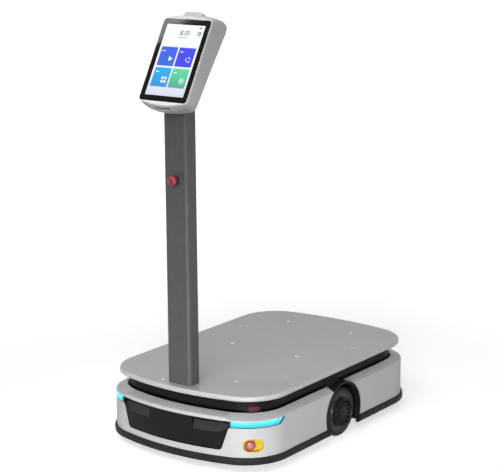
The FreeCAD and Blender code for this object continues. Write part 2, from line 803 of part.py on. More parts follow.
def main_computer():
    """Sealed computer with a finned lid, on the rear half of the frame."""
    case = box(-110, 110, 184, 274, RAIL_BOTTOM - 30, RAIL_BOTTOM + 30)
    low, high = RAIL_BOTTOM + 30, RAIL_BOTTOM + 42
    fins = [box(-110 + 18 * i, -106 + 18 * i, 186, 272, low, high) for i in range(13)]
    return fused([case] + fins)


def motor_driver():
    """Twin motor controller with a finned heat sink, on the front half of the frame."""
    case = box(-90, 90, -274, -184, RAIL_BOTTOM - 30, RAIL_BOTTOM + 6)
    fins = [box(-90 + 16 * i, -86 + 16 * i, -272, -186, RAIL_BOTTOM + 6, RAIL_BOTTOM + 22) for i in range(12)]
    return fused([case] + fins)


def electronics_trays():
    """Two folded trays that hang between the rails and carry the computer and the driver."""
    solids = []
    z = RAIL_BOTTOM - 33
    for y0, y1 in ((-276, -182), (182, 276)):
        floor = box(-160, 160, y0, y1, z, z + 3)
        ears = [box(s * 157, s * 160, y0, y1, z, RAIL_TOP - 2) for s in (-1, 1)]
        solids.append(fused([floor] + ears))
    return Part.makeCompound(solids)


# --- rear panel -------------------------------------------------------------------------
CHARGE_Z = 92.0
BUTTON_X = 84.0
BUTTON_Z = 112.0


def rear_panel():
    """Dark service panel with the charging bay, air slots and the seat of the power button."""
    skin = prism(BODY, 62, 138).cut(prism(inset(BODY, 4.0), 0, 300)).common(rear_panel_prism())
    lip = hoop(inset(BODY, SHELL_WALL), 2.0, 56, 144).common(rear_panel_prism(6.0))
    skin = skin.fuse(lip)
    skin = skin.cut(box(-62.3, 62.3, 440, 500, CHARGE_Z - 20.3, CHARGE_Z + 20.3))
    for i in range(6):
        slot = slab(26, 4, 1.9, 0, 60)
        slot.rotate(ORIGIN, X_AXIS, -90)
        slot.translate(V(-92, 440, 76 + 8.5 * i))
        skin = skin.cut(slot)
    seat = V(BUTTON_X, 0, BUTTON_Z)
    skin = skin.cut(rod(8.0 + FIT, seat + V(0, 440, 0), seat + V(0, 500, 0)))
    collar = tube(12.0, 8.0 + FIT, seat + V(0, 456, 0), seat + V(0, 472.0, 0))
    return fused([skin, collar])


def charge_block():
    """Insulating block that carries the two charging strips."""
    block = box(-62, 62, 452, 479, CHARGE_Z - 20, CHARGE_Z + 20)
    back = box(-67, 67, 452, 480, CHARGE_Z - 25, CHARGE_Z + 25).common(prism(inset(BODY, 5.0), 0, 200))
    block = block.fuse(back)
    for s in (-1, 1):
        block = block.cut(box(-50, 50, 476, 482, CHARGE_Z + s * 10 - 5.2, CHARGE_Z + s * 10 + 5.2))
    return block


def charge_contacts():
    solids = []
    for s in (-1, 1):
        solids.append(box(-49.8, 49.8, 476, 480, CHARGE_Z + s * 10 - 5, CHARGE_Z + s * 10 + 5))
    return Part.makeCompound(solids)


def power_button():
    """Push button on the rear panel, with its flange behind the panel."""
    seat = V(BUTTON_X, 0, BUTTON_Z)
    profile = [(0, 0), (0, 10.5), (3, 10.5), (3, 8.0), (21.5, 8.0), (22.5, 6.6), (22.5, 0)]
    return lathe(profile, seat + V(0, 452.5, 0), Y_AXIS, Z_AXIS)


# --- emergency stops --------------------------------------------------------------------
STEM_RADIUS = 7.0


def stop_head(tip, skirt):
    """Mushroom head about local X: domed face at tip, deep grip ring, bore for the stem."""
    r = STOP_HEAD_RADIUS
    profile = [
        (tip, 0),
        (tip - 0.5, 6),
        (tip - 1.8, 10.5),
        (tip - 3.4, r - 1.8),
        (tip - 5.0, r),
        (tip - skirt + 1.0, r),
        (tip - skirt, r - 1.2),
        (tip - skirt, STEM_RADIUS + FIT),
        (tip - 4.0, STEM_RADIUS + FIT),
        (tip - 4.0, 0),
    ]
    return lathe(profile, ORIGIN, X_AXIS, Z_AXIS)


def stop_stem(tip, back):
    """Plunger that the head turns on, about local X, with its end flange behind the seat."""
    profile = [
        (back, 0),
        (back, 9.5),
        (back + 2, 9.5),
        (back + 2, STEM_RADIUS),
        (tip - 4.4, STEM_RADIUS),
        (tip - 4.4, 0),
    ]
    return lathe(profile, ORIGIN, X_AXIS, Z_AXIS)


POST_STOP_TIP = 22.5
POST_STOP_SKIRT = 14.4
POST_STOP_BACK = -18.3
BASE_STOP_TIP = 2.5
BASE_STOP_SKIRT = 10.5
BASE_STOP_BACK = -32.3
BASE_STOP_SHIFT = 9.7


def post_stop_place():
    front = MAST_Y - MAST_DEPTH / 2
    return FreeCAD.Placement(V(0, front, POST_STOP_Z), FreeCAD.Rotation(Z_AXIS, -90))


def base_stop_place():
    shift = FreeCAD.Placement(V(0, -BASE_STOP_SHIFT, 0), FreeCAD.Rotation())
    return pill_place().multiply(shift)


def stop_collar():
    """Panel seat of the mast stop: front ring, neck through the wall and back nut."""
    r = STEM_RADIUS + FIT
    w = -MAST_WALL
    nut = [(-16, r), (-16, 10.8), (-11, 10.8), (-11, 14), (w, 14), (w, 10.8)]
    profile = nut + [(0.0, 10.8), (0.0, 14.6), (3.6, 13.6), (3.6, r)]
    return placed(lathe(profile, ORIGIN, X_AXIS, Z_AXIS), post_stop_place())


def base_stop_tray():
    """Deep yellow pill-shaped tray round the base stop, with its flange and stem seat."""
    deep = -16.0
    tray = pill(-0.1, deep - 2.5, 0.6).cut(pill(-2.4, deep, 5))
    tray = placed(tray, pill_place()).common(prism(inset(BUMPER, BODY_INSET - 0.4), 0, 200))
    lip = placed(pill(3.0, -20, 20).cut(pill(-2.4, -21, 21)), pill_place())
    tray = tray.fuse(lip.common(hoop(inset(BODY, SHELL_WALL), 2.0, 0, 200)))
    seat = lathe(
        [(deep - 14, STEM_RADIUS + FIT), (deep - 14, 11), (deep + 3.5, 11), (deep + 3.5, STEM_RADIUS + FIT)],
        ORIGIN,
        X_AXIS,
        Z_AXIS,
    )
    tray = tray.fuse(placed(seat, base_stop_place()))
    bore = rod(STEM_RADIUS + FIT, V(deep - 15, 0, 0), V(deep + 5, 0, 0))
    return tray.cut(placed(bore, base_stop_place())).removeSplitter()


# --- mast and screen head ---------------------------------------------------------------
def mast_section(grow, low, high):
    solid = slab(MAST_WIDTH + 2 * grow, MAST_DEPTH + 2 * grow, MAST_CORNER + grow, low, high)
    solid.translate(V(0, MAST_Y, 0))
    return solid


TILT = math.radians(SCREEN_TILT)
SCREEN_UP = V(0, math.sin(TILT), math.cos(TILT))
SCREEN_BACK = V(0, math.cos(TILT), -math.sin(TILT))


def on_screen(x, u, d):
    """A point x across, u up the screen from its centre and d behind its face."""
    return SCREEN_CENTRE + V(x, 0, 0) + SCREEN_UP * u + SCREEN_BACK * d


Section = namedtuple("Section", "half low high low_d high_d low_bow high_bow corner")
HEAD_SECTIONS = (
    Section(89.5, -140.5, 140.5, 0.0, 0.0, 11.5, 11.5, 13.0),
    Section(90.0, -143.5, 145.5, 6.0, 6.0, 13.5, 12.5, 14.0),
    Section(90.0, -149.0, 155.0, 20.0, 24.0, 17.0, 11.0, 17.0),
    Section(89.5, -149.5, 162.5, 40.0, 58.0, 16.0, 10.5, 20.0),
    Section(87.0, -146.0, 162.0, 50.5, 77.0, 14.0, 10.5, 22.0),
    Section(80.0, -137.0, 155.0, 57.0, 88.0, 12.0, 10.0, 22.0),
)
HUMP_WIDTH = 68.0
HUMP_TOP = 160.0
SLOT_WIDTH = 54.0
SLOT_HEIGHT = 7.5


def section_wire(s, shrink=0.0):
    """One cross-section of the head, on its own tilted plane."""
    rise = s.high - s.low
    lean = s.high_d - s.low_d
    length = math.hypot(rise, lean)
    p = plan(s.half - shrink, length / 2 - shrink, s.low_bow, length / 2 - shrink, s.high_bow, s.corner)
    wire = plan_wire(p, 0)
    along = (SCREEN_UP * rise + SCREEN_BACK * lean).normalize()
    middle = on_screen(0, (s.low + s.high) / 2, (s.low_d + s.high_d) / 2)
    rotation = FreeCAD.Rotation(X_AXIS, along, X_AXIS.cross(along), "XYZ")
    wire.Placement = FreeCAD.Placement(middle, rotation).multiply(wire.Placement)
    return wire


def head_solid(sections, shrink=0.0):
    return Part.makeLoft([section_wire(s, shrink) for s in sections], True, True)


def screen_slab(width, height, radius, front, back):
    """A rounded plate parallel to the screen, from depth front to depth back."""
    plate = slab(width, height, radius, front, back)
    rotation = FreeCAD.Rotation(X_AXIS * -1, SCREEN_UP, SCREEN_BACK, "XYZ")
    plate.Placement = FreeCAD.Placement(SCREEN_CENTRE, rotation).multiply(plate.Placement)
    return plate


def head_bezel():
    """Pale front frame whose top and bottom bow out past the glass."""
    frame = head_solid(HEAD_SECTIONS[:2])
    frame = frame.cut(screen_slab(GLASS_WIDTH + 0.6, GLASS_HEIGHT + 0.6, GLASS_CORNER + 0.3, -5, 2.2))
    return frame.cut(screen_slab(GLASS_WIDTH - 12, GLASS_HEIGHT - 12, GLASS_CORNER - 4, -5, 20))


def head_glass():
    return screen_slab(GLASS_WIDTH, GLASS_HEIGHT, GLASS_CORNER, -0.2, 2.2)


def head_display():
    module = screen_slab(DISPLAY_WIDTH + 8, DISPLAY_HEIGHT + 8, 2.0, 2.2, 8.0)
    board = screen_slab(110, 150, 3.0, 14.0, 16.0)
    posts = []
    for sx in (-1, 1):
        for su in (-1, 1):
            posts.append(rod(3.0, on_screen(sx * 48, su * 68, 8.0), on_screen(sx * 48, su * 68, 14.0)))
    return fused([module, board] + posts)


def head_back_plane(offset):
    """Half-space behind the head's flat back, moved offset along the outward normal."""
    s = HEAD_SECTIONS[-1]
    low = on_screen(0, s.low, s.low_d)
    high = on_screen(0, s.high, s.high_d)
    along = (high - low).normalize()
    normal = X_AXIS.cross(along) * -1
    if normal.y < 0:
        normal = normal * -1
    half_space = Part.makeBox(3000, 3000, 3000, V(-1500, -1500, 0))
    rotation = FreeCAD.Rotation(X_AXIS, normal.cross(X_AXIS), normal, "XYZ")
    half_space.Placement = FreeCAD.Placement(low + normal * offset, rotation).multiply(half_space.Placement)
    return half_space


def head_rear_shell():
    """Deep moulded back of the head, hollow, with the scanner slot in its chin."""
    outer = head_solid(HEAD_SECTIONS[1:])
    hollow = head_solid(HEAD_SECTIONS[1:5], 3.0)
    hump = screen_slab(HUMP_WIDTH, 60, 9.0, 14.0, 44.0)
    hump.translate(SCREEN_UP * (HUMP_TOP - 30))
    shell = outer.fuse(hump).cut(hollow)
    slot = Part.makeBox(SLOT_WIDTH, 14, SLOT_HEIGHT)
    rotation = FreeCAD.Rotation(X_AXIS, SCREEN_UP, SCREEN_BACK * -1, "XYZ")
    slot.Placement = FreeCAD.Placement(on_screen(-SLOT_WIDTH / 2, -154, 18.0), rotation)
    return shell.cut(slot).removeSplitter()


MITRE_PLATE = 5.0


def mast_tube():
    """Extruded mast, mitred to the head's back and closed with a screwed-on head plate."""
    low = RING_TOP - FOOT_THICKNESS
    high = SCREEN_CENTRE.z + 60
    outer = mast_section(0, low, high).cut(mast_section(-MAST_WALL, low - 1, high + 1))
    tube_ = outer.common(head_back_plane(MITRE_PLATE))
    plate = mast_section(0, low, high).common(head_back_plane(0.0)).cut(head_back_plane(MITRE_PLATE))
    mast = fused([tube_, plate])
    hole = rod(11.0, V(-25, 0, 0), V(5, 0, 0))
    return mast.cut(placed(hole, post_stop_place())).removeSplitter()


FOOT_THICKNESS = 8.0


def foot_flange(low, high, grow):
    flange = slab(172 + 2 * grow, 86 + 2 * grow, 10, low, high)
    flange.translate(V(0, -388, 0))
    return flange


def mast_foot():
    """Flange under the deck that the mast is welded into, tapped for the two deck screws."""
    low = RING_TOP - FOOT_THICKNESS
    flange = foot_flange(low, RING_TOP, 0.0).cut(mast_section(0.0, low - 1, RING_TOP + 1))
    for s in (1, -1):
        place = V(s * MAST_SCREW_X, MAST_SCREW_Y, 0)
        flange = flange.cut(rod(3.0, place + V(0, 0, low - 1), place + V(0, 0, RING_TOP + 1)))
    return flange


# --- drive units ------------------------------------------------------------------------
AXLE_RADIUS = 10.0
PIVOT_Y = -78.0
PIVOT_Z = 104.0
PIVOT_RADIUS = 6.0
ARM_X0 = 214.0
ARM_X1 = 226.0
SPRING_Y = 92.0
SPRING_LOW = 120.0
SPRING_HIGH = 160.0


def wheel_centre(x=0.0):
    return V(x, WHEEL_Y, WHEEL_Z)


def drive_tyre():
    """Solid tyre with round shoulders and two tread grooves."""
    r = WHEEL_RADIUS
    profile = [
        (252, 66.8),
        (252, r - 6.0),
        (253.5, r - 2.2),
        (257, r),
        (266, r),
        (266, r - 2.5),
        (269, r - 2.5),
        (269, r),
        (280, r),
        (280, r - 2.5),
        (283, r - 2.5),
        (283, r),
        (292, r),
        (295.5, r - 2.2),
        (297, r - 6.0),
        (297, 69.0),
        (295, 66.8),
    ]
    return lathe(profile, wheel_centre(), X_AXIS, Z_AXIS)


def drive_motor():
    """Hub motor: flanged rim, dished outer cover and bearing bore, one turned body."""
    profile = [
        (246, AXLE_RADIUS + FIT),
        (246, 24),
        (249, 26),
        (249, 58),
        (252, 62),
        (252, 66.8),
        (295, 66.8),
        (298, 66.0),
        (298, 63.5),
        (293.5, 60.5),
        (290.5, 54),
        (291.5, 48.5),
        (296, 46.5),
        (298.5, 46.5),
        (298.5, AXLE_RADIUS + FIT),
    ]
    motor = lathe(profile, wheel_centre(), X_AXIS, Z_AXIS)
    valve = rod(3.2, V(280, WHEEL_Y - 8, WHEEL_Z + 54), V(305, WHEEL_Y - 8, WHEEL_Z + 54))
    return motor.cut(valve)


HUB_FINS = 16


def hub_cap():
    """Raised hub cover: a ring of swept cooling fins between a rim and a centre boss."""
    disc = lathe([(298.5, 0), (298.5, 46.3), (301, 46.3), (301, 0)], wheel_centre(), X_AXIS, Z_AXIS)
    rim = [(300.5, 41.5), (300.5, 46.3), (306.5, 45.2), (308.0, 43.8), (308.0, 42.2)]
    ring = lathe(rim, wheel_centre(), X_AXIS, Z_AXIS)
    knob = [(300.5, 0), (300.5, 14.5), (307.0, 13.0), (308.5, 11.0)]
    knob += [(308.5, 6.0), (306.5, 5.0), (306.5, 0)]
    boss = lathe(knob, wheel_centre(), X_AXIS, Z_AXIS)
    points = [(-2.4, 12.5), (2.4, 12.5), (6.9, 42.6), (3.1, 42.9)]
    root = [V(300.5, WHEEL_Y + a, WHEEL_Z + r) for a, r in points]
    fin = Part.Face(Part.makePolygon(root + root[:1])).extrude(V(6.6, 0, 0))
    fins = around(fin, HUB_FINS, wheel_centre(), X_AXIS)
    return fused([disc, ring, boss] + fins)


def link(a, ra, b, rb, x0, x1):
    """A flat bar along X between two round ends, with straight tangent flanks."""
    ends = [rod(ra, V(x0, a.y, a.z), V(x1, a.y, a.z)), rod(rb, V(x0, b.y, b.z), V(x1, b.y, b.z))]
    run = V(0, b.y - a.y, b.z - a.z)
    length = run.Length
    run.normalize()
    side = V(0, -run.z, run.y)
    lean = (ra - rb) / length
    rise = math.sqrt(1 - lean * lean)
    corners = []
    for centre, radius, sign in ((a, ra, 1), (b, rb, 1), (b, rb, -1), (a, ra, -1)):
        offset = run * (radius * lean) + side * (sign * radius * rise)
        corners.append(V(x0, centre.y + offset.y, centre.z + offset.z))
    bar = Part.Face(Part.makePolygon(corners + corners[:1])).extrude(V(x1 - x0, 0, 0))
    return fused(ends + [bar])


def drive_arm():
    """Swing arm: pivot eye, axle clamp with the fixed axle, and the spring seat."""
    pivot = V(0, PIVOT_Y, PIVOT_Z)
    axle = wheel_centre()
    seat = V(0, SPRING_Y, SPRING_LOW - 14)
    arm = fused([link(pivot, 13, axle, 24, ARM_X0, ARM_X1), link(axle, 24, seat, 12, ARM_X0, ARM_X1)])
    pad = slab(26, 32, 5, SPRING_LOW - 5, SPRING_LOW)
    pad.translate(V((ARM_X0 + ARM_X1) / 2, SPRING_Y, 0))
    web = box(ARM_X0, ARM_X1, SPRING_Y - 10, SPRING_Y + 10, SPRING_LOW - 15, SPRING_LOW - 4)
    shaft = rod(AXLE_RADIUS, axle + V(ARM_X0 - 6, 0, 0), axle + V(298.0, 0, 0))
    shoulder = rod(15.0, axle + V(ARM_X1 - 1, 0, 0), axle + V(245.0, 0, 0))
    arm = fused([arm, pad, web, shaft, shoulder])
    return arm.cut(rod(PIVOT_RADIUS + FIT, pivot + V(200, 0, 0), pivot + V(240, 0, 0)))


def suspension_spring():
    """Waisted elastomer spring between the arm's seat and the frame bracket."""
    h = SPRING_HIGH - SPRING_LOW
    profile = [(0, 0), (0, 12), (4, 12.5), (h / 2 - 4, 9.5), (h / 2 + 4, 9.5), (h - 4, 12.5), (h, 12), (h, 0)]
    return lathe(profile, V((ARM_X0 + ARM_X1) / 2, SPRING_Y, SPRING_LOW), Z_AXIS, X_AXIS)


def arm_bracket():
    """Frame side of one drive unit: pivot cheeks with their pin, and the spring's gallows."""
    cheeks = []
    for x0, x1 in ((ARM_X0 - 7, ARM_X0 - 1), (ARM_X1 + 1, ARM_X1 + 7)):
        eye = rod(14.0, V(x0, PIVOT_Y, PIVOT_Z), V(x1, PIVOT_Y, PIVOT_Z))
        cheeks.append(eye.fuse(box(x0, x1, PIVOT_Y - 14, PIVOT_Y + 14, PAN_TOP, PIVOT_Z)))
    base = box(ARM_X0 - 16, ARM_X1 + 7, PIVOT_Y - 24, PIVOT_Y + 14, PAN_TOP, PAN_TOP + 5)
    pin = rod(PIVOT_RADIUS, V(ARM_X0 - 9, PIVOT_Y, PIVOT_Z), V(ARM_X1 + 9, PIVOT_Y, PIVOT_Z))
    post = box(ARM_X0 - 6, ARM_X1 + 6, SPRING_Y + 24, SPRING_Y + 30, PAN_TOP, SPRING_HIGH + 5)
    roof = box(ARM_X0 - 6, ARM_X1 + 6, SPRING_Y - 16, SPRING_Y + 30, SPRING_HIGH, SPRING_HIGH + 5)
    foot = box(ARM_X0 - 16, ARM_X1 + 6, SPRING_Y + 24, SPRING_Y + 44, PAN_TOP, PAN_TOP + 5)
    return fused(cheeks + [base, pin]), fused([post, roof, foot])


def arm_brackets():
    solids = []
    for side in (LEFT, RIGHT):
        for part in arm_bracket():
            solids.append(for_side(part, side))
    return Part.makeCompound(solids)


# --- casters ----------------------------------------------------------------------------
CASTER_PLATE = 5.0
CROWN_LOW = 101.0
CROWN_HIGH = 108.0
KINGPIN = 7.0
CASTER_AXLE = 4.0


def caster_mount():
    """Top plate, fixed half of the ball race, and kingpin, about the Z axis."""
    top = RAIL_BOTTOM
    plate = slab(92, 78, 8, top - CASTER_PLATE, top)
    race = tube(25, 12, V(0, 0, CROWN_HIGH + 0.4), V(0, 0, top - CASTER_PLATE + 0.1))
    stem = rod(KINGPIN, V(0, 0, CROWN_LOW - 0.5), V(0, 0, top - 1))
    head = rod(11, V(0, 0, CROWN_LOW - 4), V(0, 0, CROWN_LOW - 0.4))
    return fused([plate, race, stem, head])


def caster_mounts():
    solids = []
    for place in caster_places().values():
        solid = caster_mount()
        solid.translate(place)
        solids.append(solid)
    return Part.makeCompound(solids)


def caster_fork():
    """Swivelling fork with raked legs and its axle bolt, about the Z axis."""
    bore = KINGPIN + FIT
    profile = [(CROWN_LOW, bore), (CROWN_LOW, 27), (CROWN_HIGH - 2, 30), (CROWN_HIGH, 29), (CROWN_HIGH, bore)]
    crown = lathe(profile, ORIGIN, Z_AXIS, X_AXIS)
    axle = V(0, CASTER_TRAIL, CASTER_RADIUS)
    legs = []
    for s in (-1, 1):
        x0, x1 = sorted((s * 18.0, s * 21.5))
        corners = [(-20, CROWN_LOW + 3), (24, CROWN_LOW + 3), (30, 60)]
        corners += [(axle.y + 10, 40), (axle.y - 10, 40), (0, 70)]
        wire = Part.makePolygon([V(x0, y, z) for y, z in corners + corners[:1]])
        leg = Part.Face(wire).extrude(V(x1 - x0, 0, 0))
        eye = rod(11, V(x0, axle.y, axle.z), V(x1, axle.y, axle.z))
        legs.append(leg.fuse(eye))
    bolt = rod(CASTER_AXLE, axle - V(25, 0, 0), axle + V(25, 0, 0))
    heads = [rod(7.5, axle + V(s * 21.4, 0, 0), axle + V(s * 25.5, 0, 0)) for s in (-1, 1)]
    return fused([crown] + legs + [bolt] + heads)


def caster_wheel():
    """Wheel with a crowned tread, recessed web and long hub."""
    r = CASTER_RADIUS
    web = [(17.0, CASTER_AXLE + FIT), (17.0, 9), (9, 11), (7, 15), (7, 24), (12, 27)]
    half = web + [(13.5, r - 4.5), (11, r - 1.2), (7, r)]
    profile = half + [(-t, radius) for t, radius in reversed(half)]
    return lathe(profile, V(0, CASTER_TRAIL, r), X_AXIS, Z_AXIS)


# --- the whole robot --------------------------------------------------------------------
def build():
    nodes = {
        "base_pan": base_pan(),
        "frame_rails": frame_rails(),
        "frame_pillars": frame_pillars(),
        "upper_ring": upper_ring(),
        "deck_plate": deck_plate(),
        "deck_ribs": deck_ribs(),
        "deck_screws": deck_screws(),
        "payload_inserts": payload_inserts(),
        "front_shell": front_shell(),
        "rear_shell": rear_shell(),
        "front_panel": front_panel(),
        "camera_modules": camera_modules(),
        "front_bumper": front_bumper(),
        "rear_bumper": rear_bumper(),
        "lidars": lidars(),
        "lidar_windows": lidar_windows(),
        "battery_pack": battery_pack(),
        "main_computer": main_computer(),
        "motor_driver": motor_driver(),
        "electronics_trays": electronics_trays(),
        "rear_panel": rear_panel(),
        "charge_block": charge_block(),
        "charge_contacts": charge_contacts(),
        "power_button": power_button(),
        "mast_tube": mast_tube(),
        "mast_foot": mast_foot(),
        "head_bezel": head_bezel(),
        "head_glass": head_glass(),
        "head_display": head_display(),
        "head_rear_shell": head_rear_shell(),
        "post_stop_collar": stop_collar(),
        "post_stop_stem": placed(stop_stem(POST_STOP_TIP, POST_STOP_BACK), post_stop_place()),
        "post_stop_head": placed(stop_head(POST_STOP_TIP, POST_STOP_SKIRT), post_stop_place()),
        "base_stop_tray": base_stop_tray(),
        "base_stop_stem": placed(stop_stem(BASE_STOP_TIP, BASE_STOP_BACK), base_stop_place()),
        "base_stop_head": placed(stop_head(BASE_STOP_TIP, BASE_STOP_SKIRT), base_stop_place()),
        "arm_brackets": arm_brackets(),
        "caster_mounts": caster_mounts(),
    }
    for name, side in SIDES.items():
        nodes["light_strip_" + name] = for_side(light_strip(), side)
        nodes["fender_" + name] = for_side(fender(), side)
        nodes["drive_tyre_" + name] = for_side(drive_tyre(), side)
        nodes["drive_motor_" + name] = for_side(drive_motor(), side)
        nodes["hub_cap_" + name] = for_side(hub_cap(), side)
        nodes["drive_arm_" + name] = for_side(drive_arm(), side)
        nodes["suspension_spring_" + name] = for_side(suspension_spring(), side)
    for name, place in caster_places().items():
        for kind, make in (("fork", caster_fork), ("wheel", caster_wheel)):
            solid = make()
            solid.translate(place)
            nodes["caster_" + kind + "_" + name] = solid
    return nodes


def main():
    os.makedirs("parts", exist_ok=True)
    for name, shape in build().items():
        if not shape.isValid() or shape.Volume <= 0:
            print("check", name, shape.isValid(), round(shape.Volume, 1))
        shape.exportStep("parts/" + name + ".step")


main()
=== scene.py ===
"""Looks of the autonomous mobile robot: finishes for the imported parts, the lit screen,
lenses, light strips and small trim, a studio floor, lamps and the camera.

Metres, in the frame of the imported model: +Z up, the robot drives towards -Y.
"""

import json
import math

import bpy
from mathutils import Matrix, Vector


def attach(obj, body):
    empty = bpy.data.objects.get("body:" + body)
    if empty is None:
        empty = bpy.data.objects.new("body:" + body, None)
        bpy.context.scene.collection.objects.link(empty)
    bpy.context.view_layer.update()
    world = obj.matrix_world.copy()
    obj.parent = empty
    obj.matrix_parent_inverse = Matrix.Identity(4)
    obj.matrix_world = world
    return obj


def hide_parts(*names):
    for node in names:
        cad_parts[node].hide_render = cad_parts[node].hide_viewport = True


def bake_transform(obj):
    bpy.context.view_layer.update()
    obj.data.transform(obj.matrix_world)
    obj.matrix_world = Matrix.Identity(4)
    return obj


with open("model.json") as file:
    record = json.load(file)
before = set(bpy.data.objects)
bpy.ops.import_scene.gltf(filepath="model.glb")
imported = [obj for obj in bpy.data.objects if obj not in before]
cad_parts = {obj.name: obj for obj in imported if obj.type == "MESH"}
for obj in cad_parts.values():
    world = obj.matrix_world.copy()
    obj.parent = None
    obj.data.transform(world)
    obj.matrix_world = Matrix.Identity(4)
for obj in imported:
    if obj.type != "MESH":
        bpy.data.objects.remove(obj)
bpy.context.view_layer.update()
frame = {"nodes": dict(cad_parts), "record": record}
nodes = frame["nodes"]
BOTH_SIDES = (("left", 1), ("right", -1))


# --- materials --------------------------------------------------------------------------
class Shader:
    """One material: a Principled shader with a few helpers for procedural detail."""

    def __init__(self, name, base, roughness, metallic=0.0, **sockets):
        self.material = bpy.data.materials.new(name)
        self.material.use_nodes = True
        self.tree = self.material.node_tree
        self.bsdf = self.tree.nodes["Principled BSDF"]
        self.base = base
        self.set("Base Color", (*base, 1.0))
        self.set("Roughness", roughness)
        self.set("Metallic", metallic)
        for socket, value in sockets.items():
            self.set(socket.replace("_", " "), value)
        self.material.diffuse_color = (*base, 1.0)

    def set(self, socket, value):
        self.bsdf.inputs[socket].default_value = value

    def node(self, kind, **settings):
        made = self.tree.nodes.new(kind)
        for key, value in settings.items():
            if key in made.inputs:
                made.inputs[key].default_value = value
            else:
                setattr(made, key, value)
        return made

    def link(self, start, end):
        self.tree.links.new(start, end)

    def coords(self, scale=(1, 1, 1)):
        """Object coordinates, which are the model's own metres."""
        place = self.node("ShaderNodeTexCoord").outputs["Object"]
        mapping = self.node("ShaderNodeMapping")
        mapping.inputs["Scale"].default_value = scale
        self.link(place, mapping.inputs["Vector"])
        return mapping.outputs["Vector"]

    def noise(self, size, detail=3.0, stretch=(1, 1, 1)):
        """Noise whose grains are about size metres across."""
        made = self.node("ShaderNodeTexNoise", Scale=1.0 / size, Detail=detail)
        self.link(self.coords(stretch), made.inputs["Vector"])
        return made.outputs["Fac"]

    def ramp(self, factor, low, high, start=0.3, end=0.7):
        made = self.node("ShaderNodeMapRange")
        for key, value in (("From Min", start), ("From Max", end), ("To Min", low), ("To Max", high)):
            made.inputs[key].default_value = value
        self.link(factor, made.inputs["Value"])
        return made.outputs["Result"]

    def mix(self, factor, low, high):
        """Colour between low and high, each a colour or another node's output."""
        made = self.node("ShaderNodeMix", data_type="RGBA")
        self.link(factor, made.inputs[0])
        for socket, colour in ((made.inputs[6], low), (made.inputs[7], high)):
            if hasattr(colour, "is_linked"):
                self.link(colour, socket)
            else:
                socket.default_value = (*colour, 1)
        return made.outputs[2]

    def tint(self, factor, spread=0.08):
        """Base colour that wanders between two close tones."""
        dark = [c * (1 - spread) for c in self.base]
        light = [min(1.0, c * (1 + spread)) for c in self.base]
        self.link(self.mix(self.ramp(factor, 0, 1), dark, light), self.bsdf.inputs["Base Color"])
        return self

    def rough(self, factor, low, high):
        self.link(self.ramp(factor, low, high), self.bsdf.inputs["Roughness"])
        return self

    def bump(self, factor, depth, strength=1.0):
        """Surface relief of about depth metres."""
        made = self.node("ShaderNodeBump", Distance=depth, Strength=strength)
        self.link(factor, made.inputs["Height"])
        self.link(made.outputs["Normal"], self.bsdf.inputs["Normal"])
        return self


def silver_paint(name, base, roughness, metallic):
    """Fine metallic lacquer: small flakes, faint orange peel."""
    s = Shader(name, base, roughness, metallic, Specular_IOR_Level=0.35)
    s.tint(s.noise(0.0009, 1.0), 0.04)
    s.rough(s.noise(0.05, 3.0), roughness - 0.03, roughness + 0.04)
    return s.bump(s.noise(0.0022, 2.0), 0.00002, 0.3).material


def moulded(name, base, roughness, grain=0.0007, depth=0.00004, specular=0.3, **sockets):
    """Moulded plastic or rubber with a fine spark grain."""
    s = Shader(name, base, roughness, Specular_IOR_Level=specular, **sockets)
    s.tint(s.noise(0.03, 3.0), 0.06)
    s.rough(s.noise(0.02, 3.0), roughness - 0.04, roughness + 0.05)
    return s.bump(s.noise(grain, 2.0), depth, 0.5).material


def metal(name, base, roughness, stretch=(1, 1, 1), grain=0.001, depth=0.00001, metallic=1.0):
    """Bare or plated metal with a drawn or ground finish."""
    s = Shader(name, base, roughness, metallic, Specular_IOR_Level=0.3)
    s.tint(s.noise(0.02, 3.0), 0.06)
    s.rough(s.noise(grain, 2.0, stretch), roughness - 0.05, roughness + 0.06)
    return s.bump(s.noise(grain, 2.0, stretch), depth, 0.4).material


STRIP_GLOW = (0.07, 0.69, 0.75)
# Painted highlight colour for the strip's upper edge.
STRIP_PAINTED_HIGHLIGHT = (0.21, 0.93, 0.95)
# Dark colour for the strip's ends, also used for the painted shadow line along its lower edge.
STRIP_END_AND_SHADOW = (0.012, 0.13, 0.20)
STRIP_LOW, STRIP_HIGH = 0.1375, 0.158
STRIP_FRONT_X = 0.2053
STRIP_TIP_Y = -0.309
STRIP_SLANT = 1.1


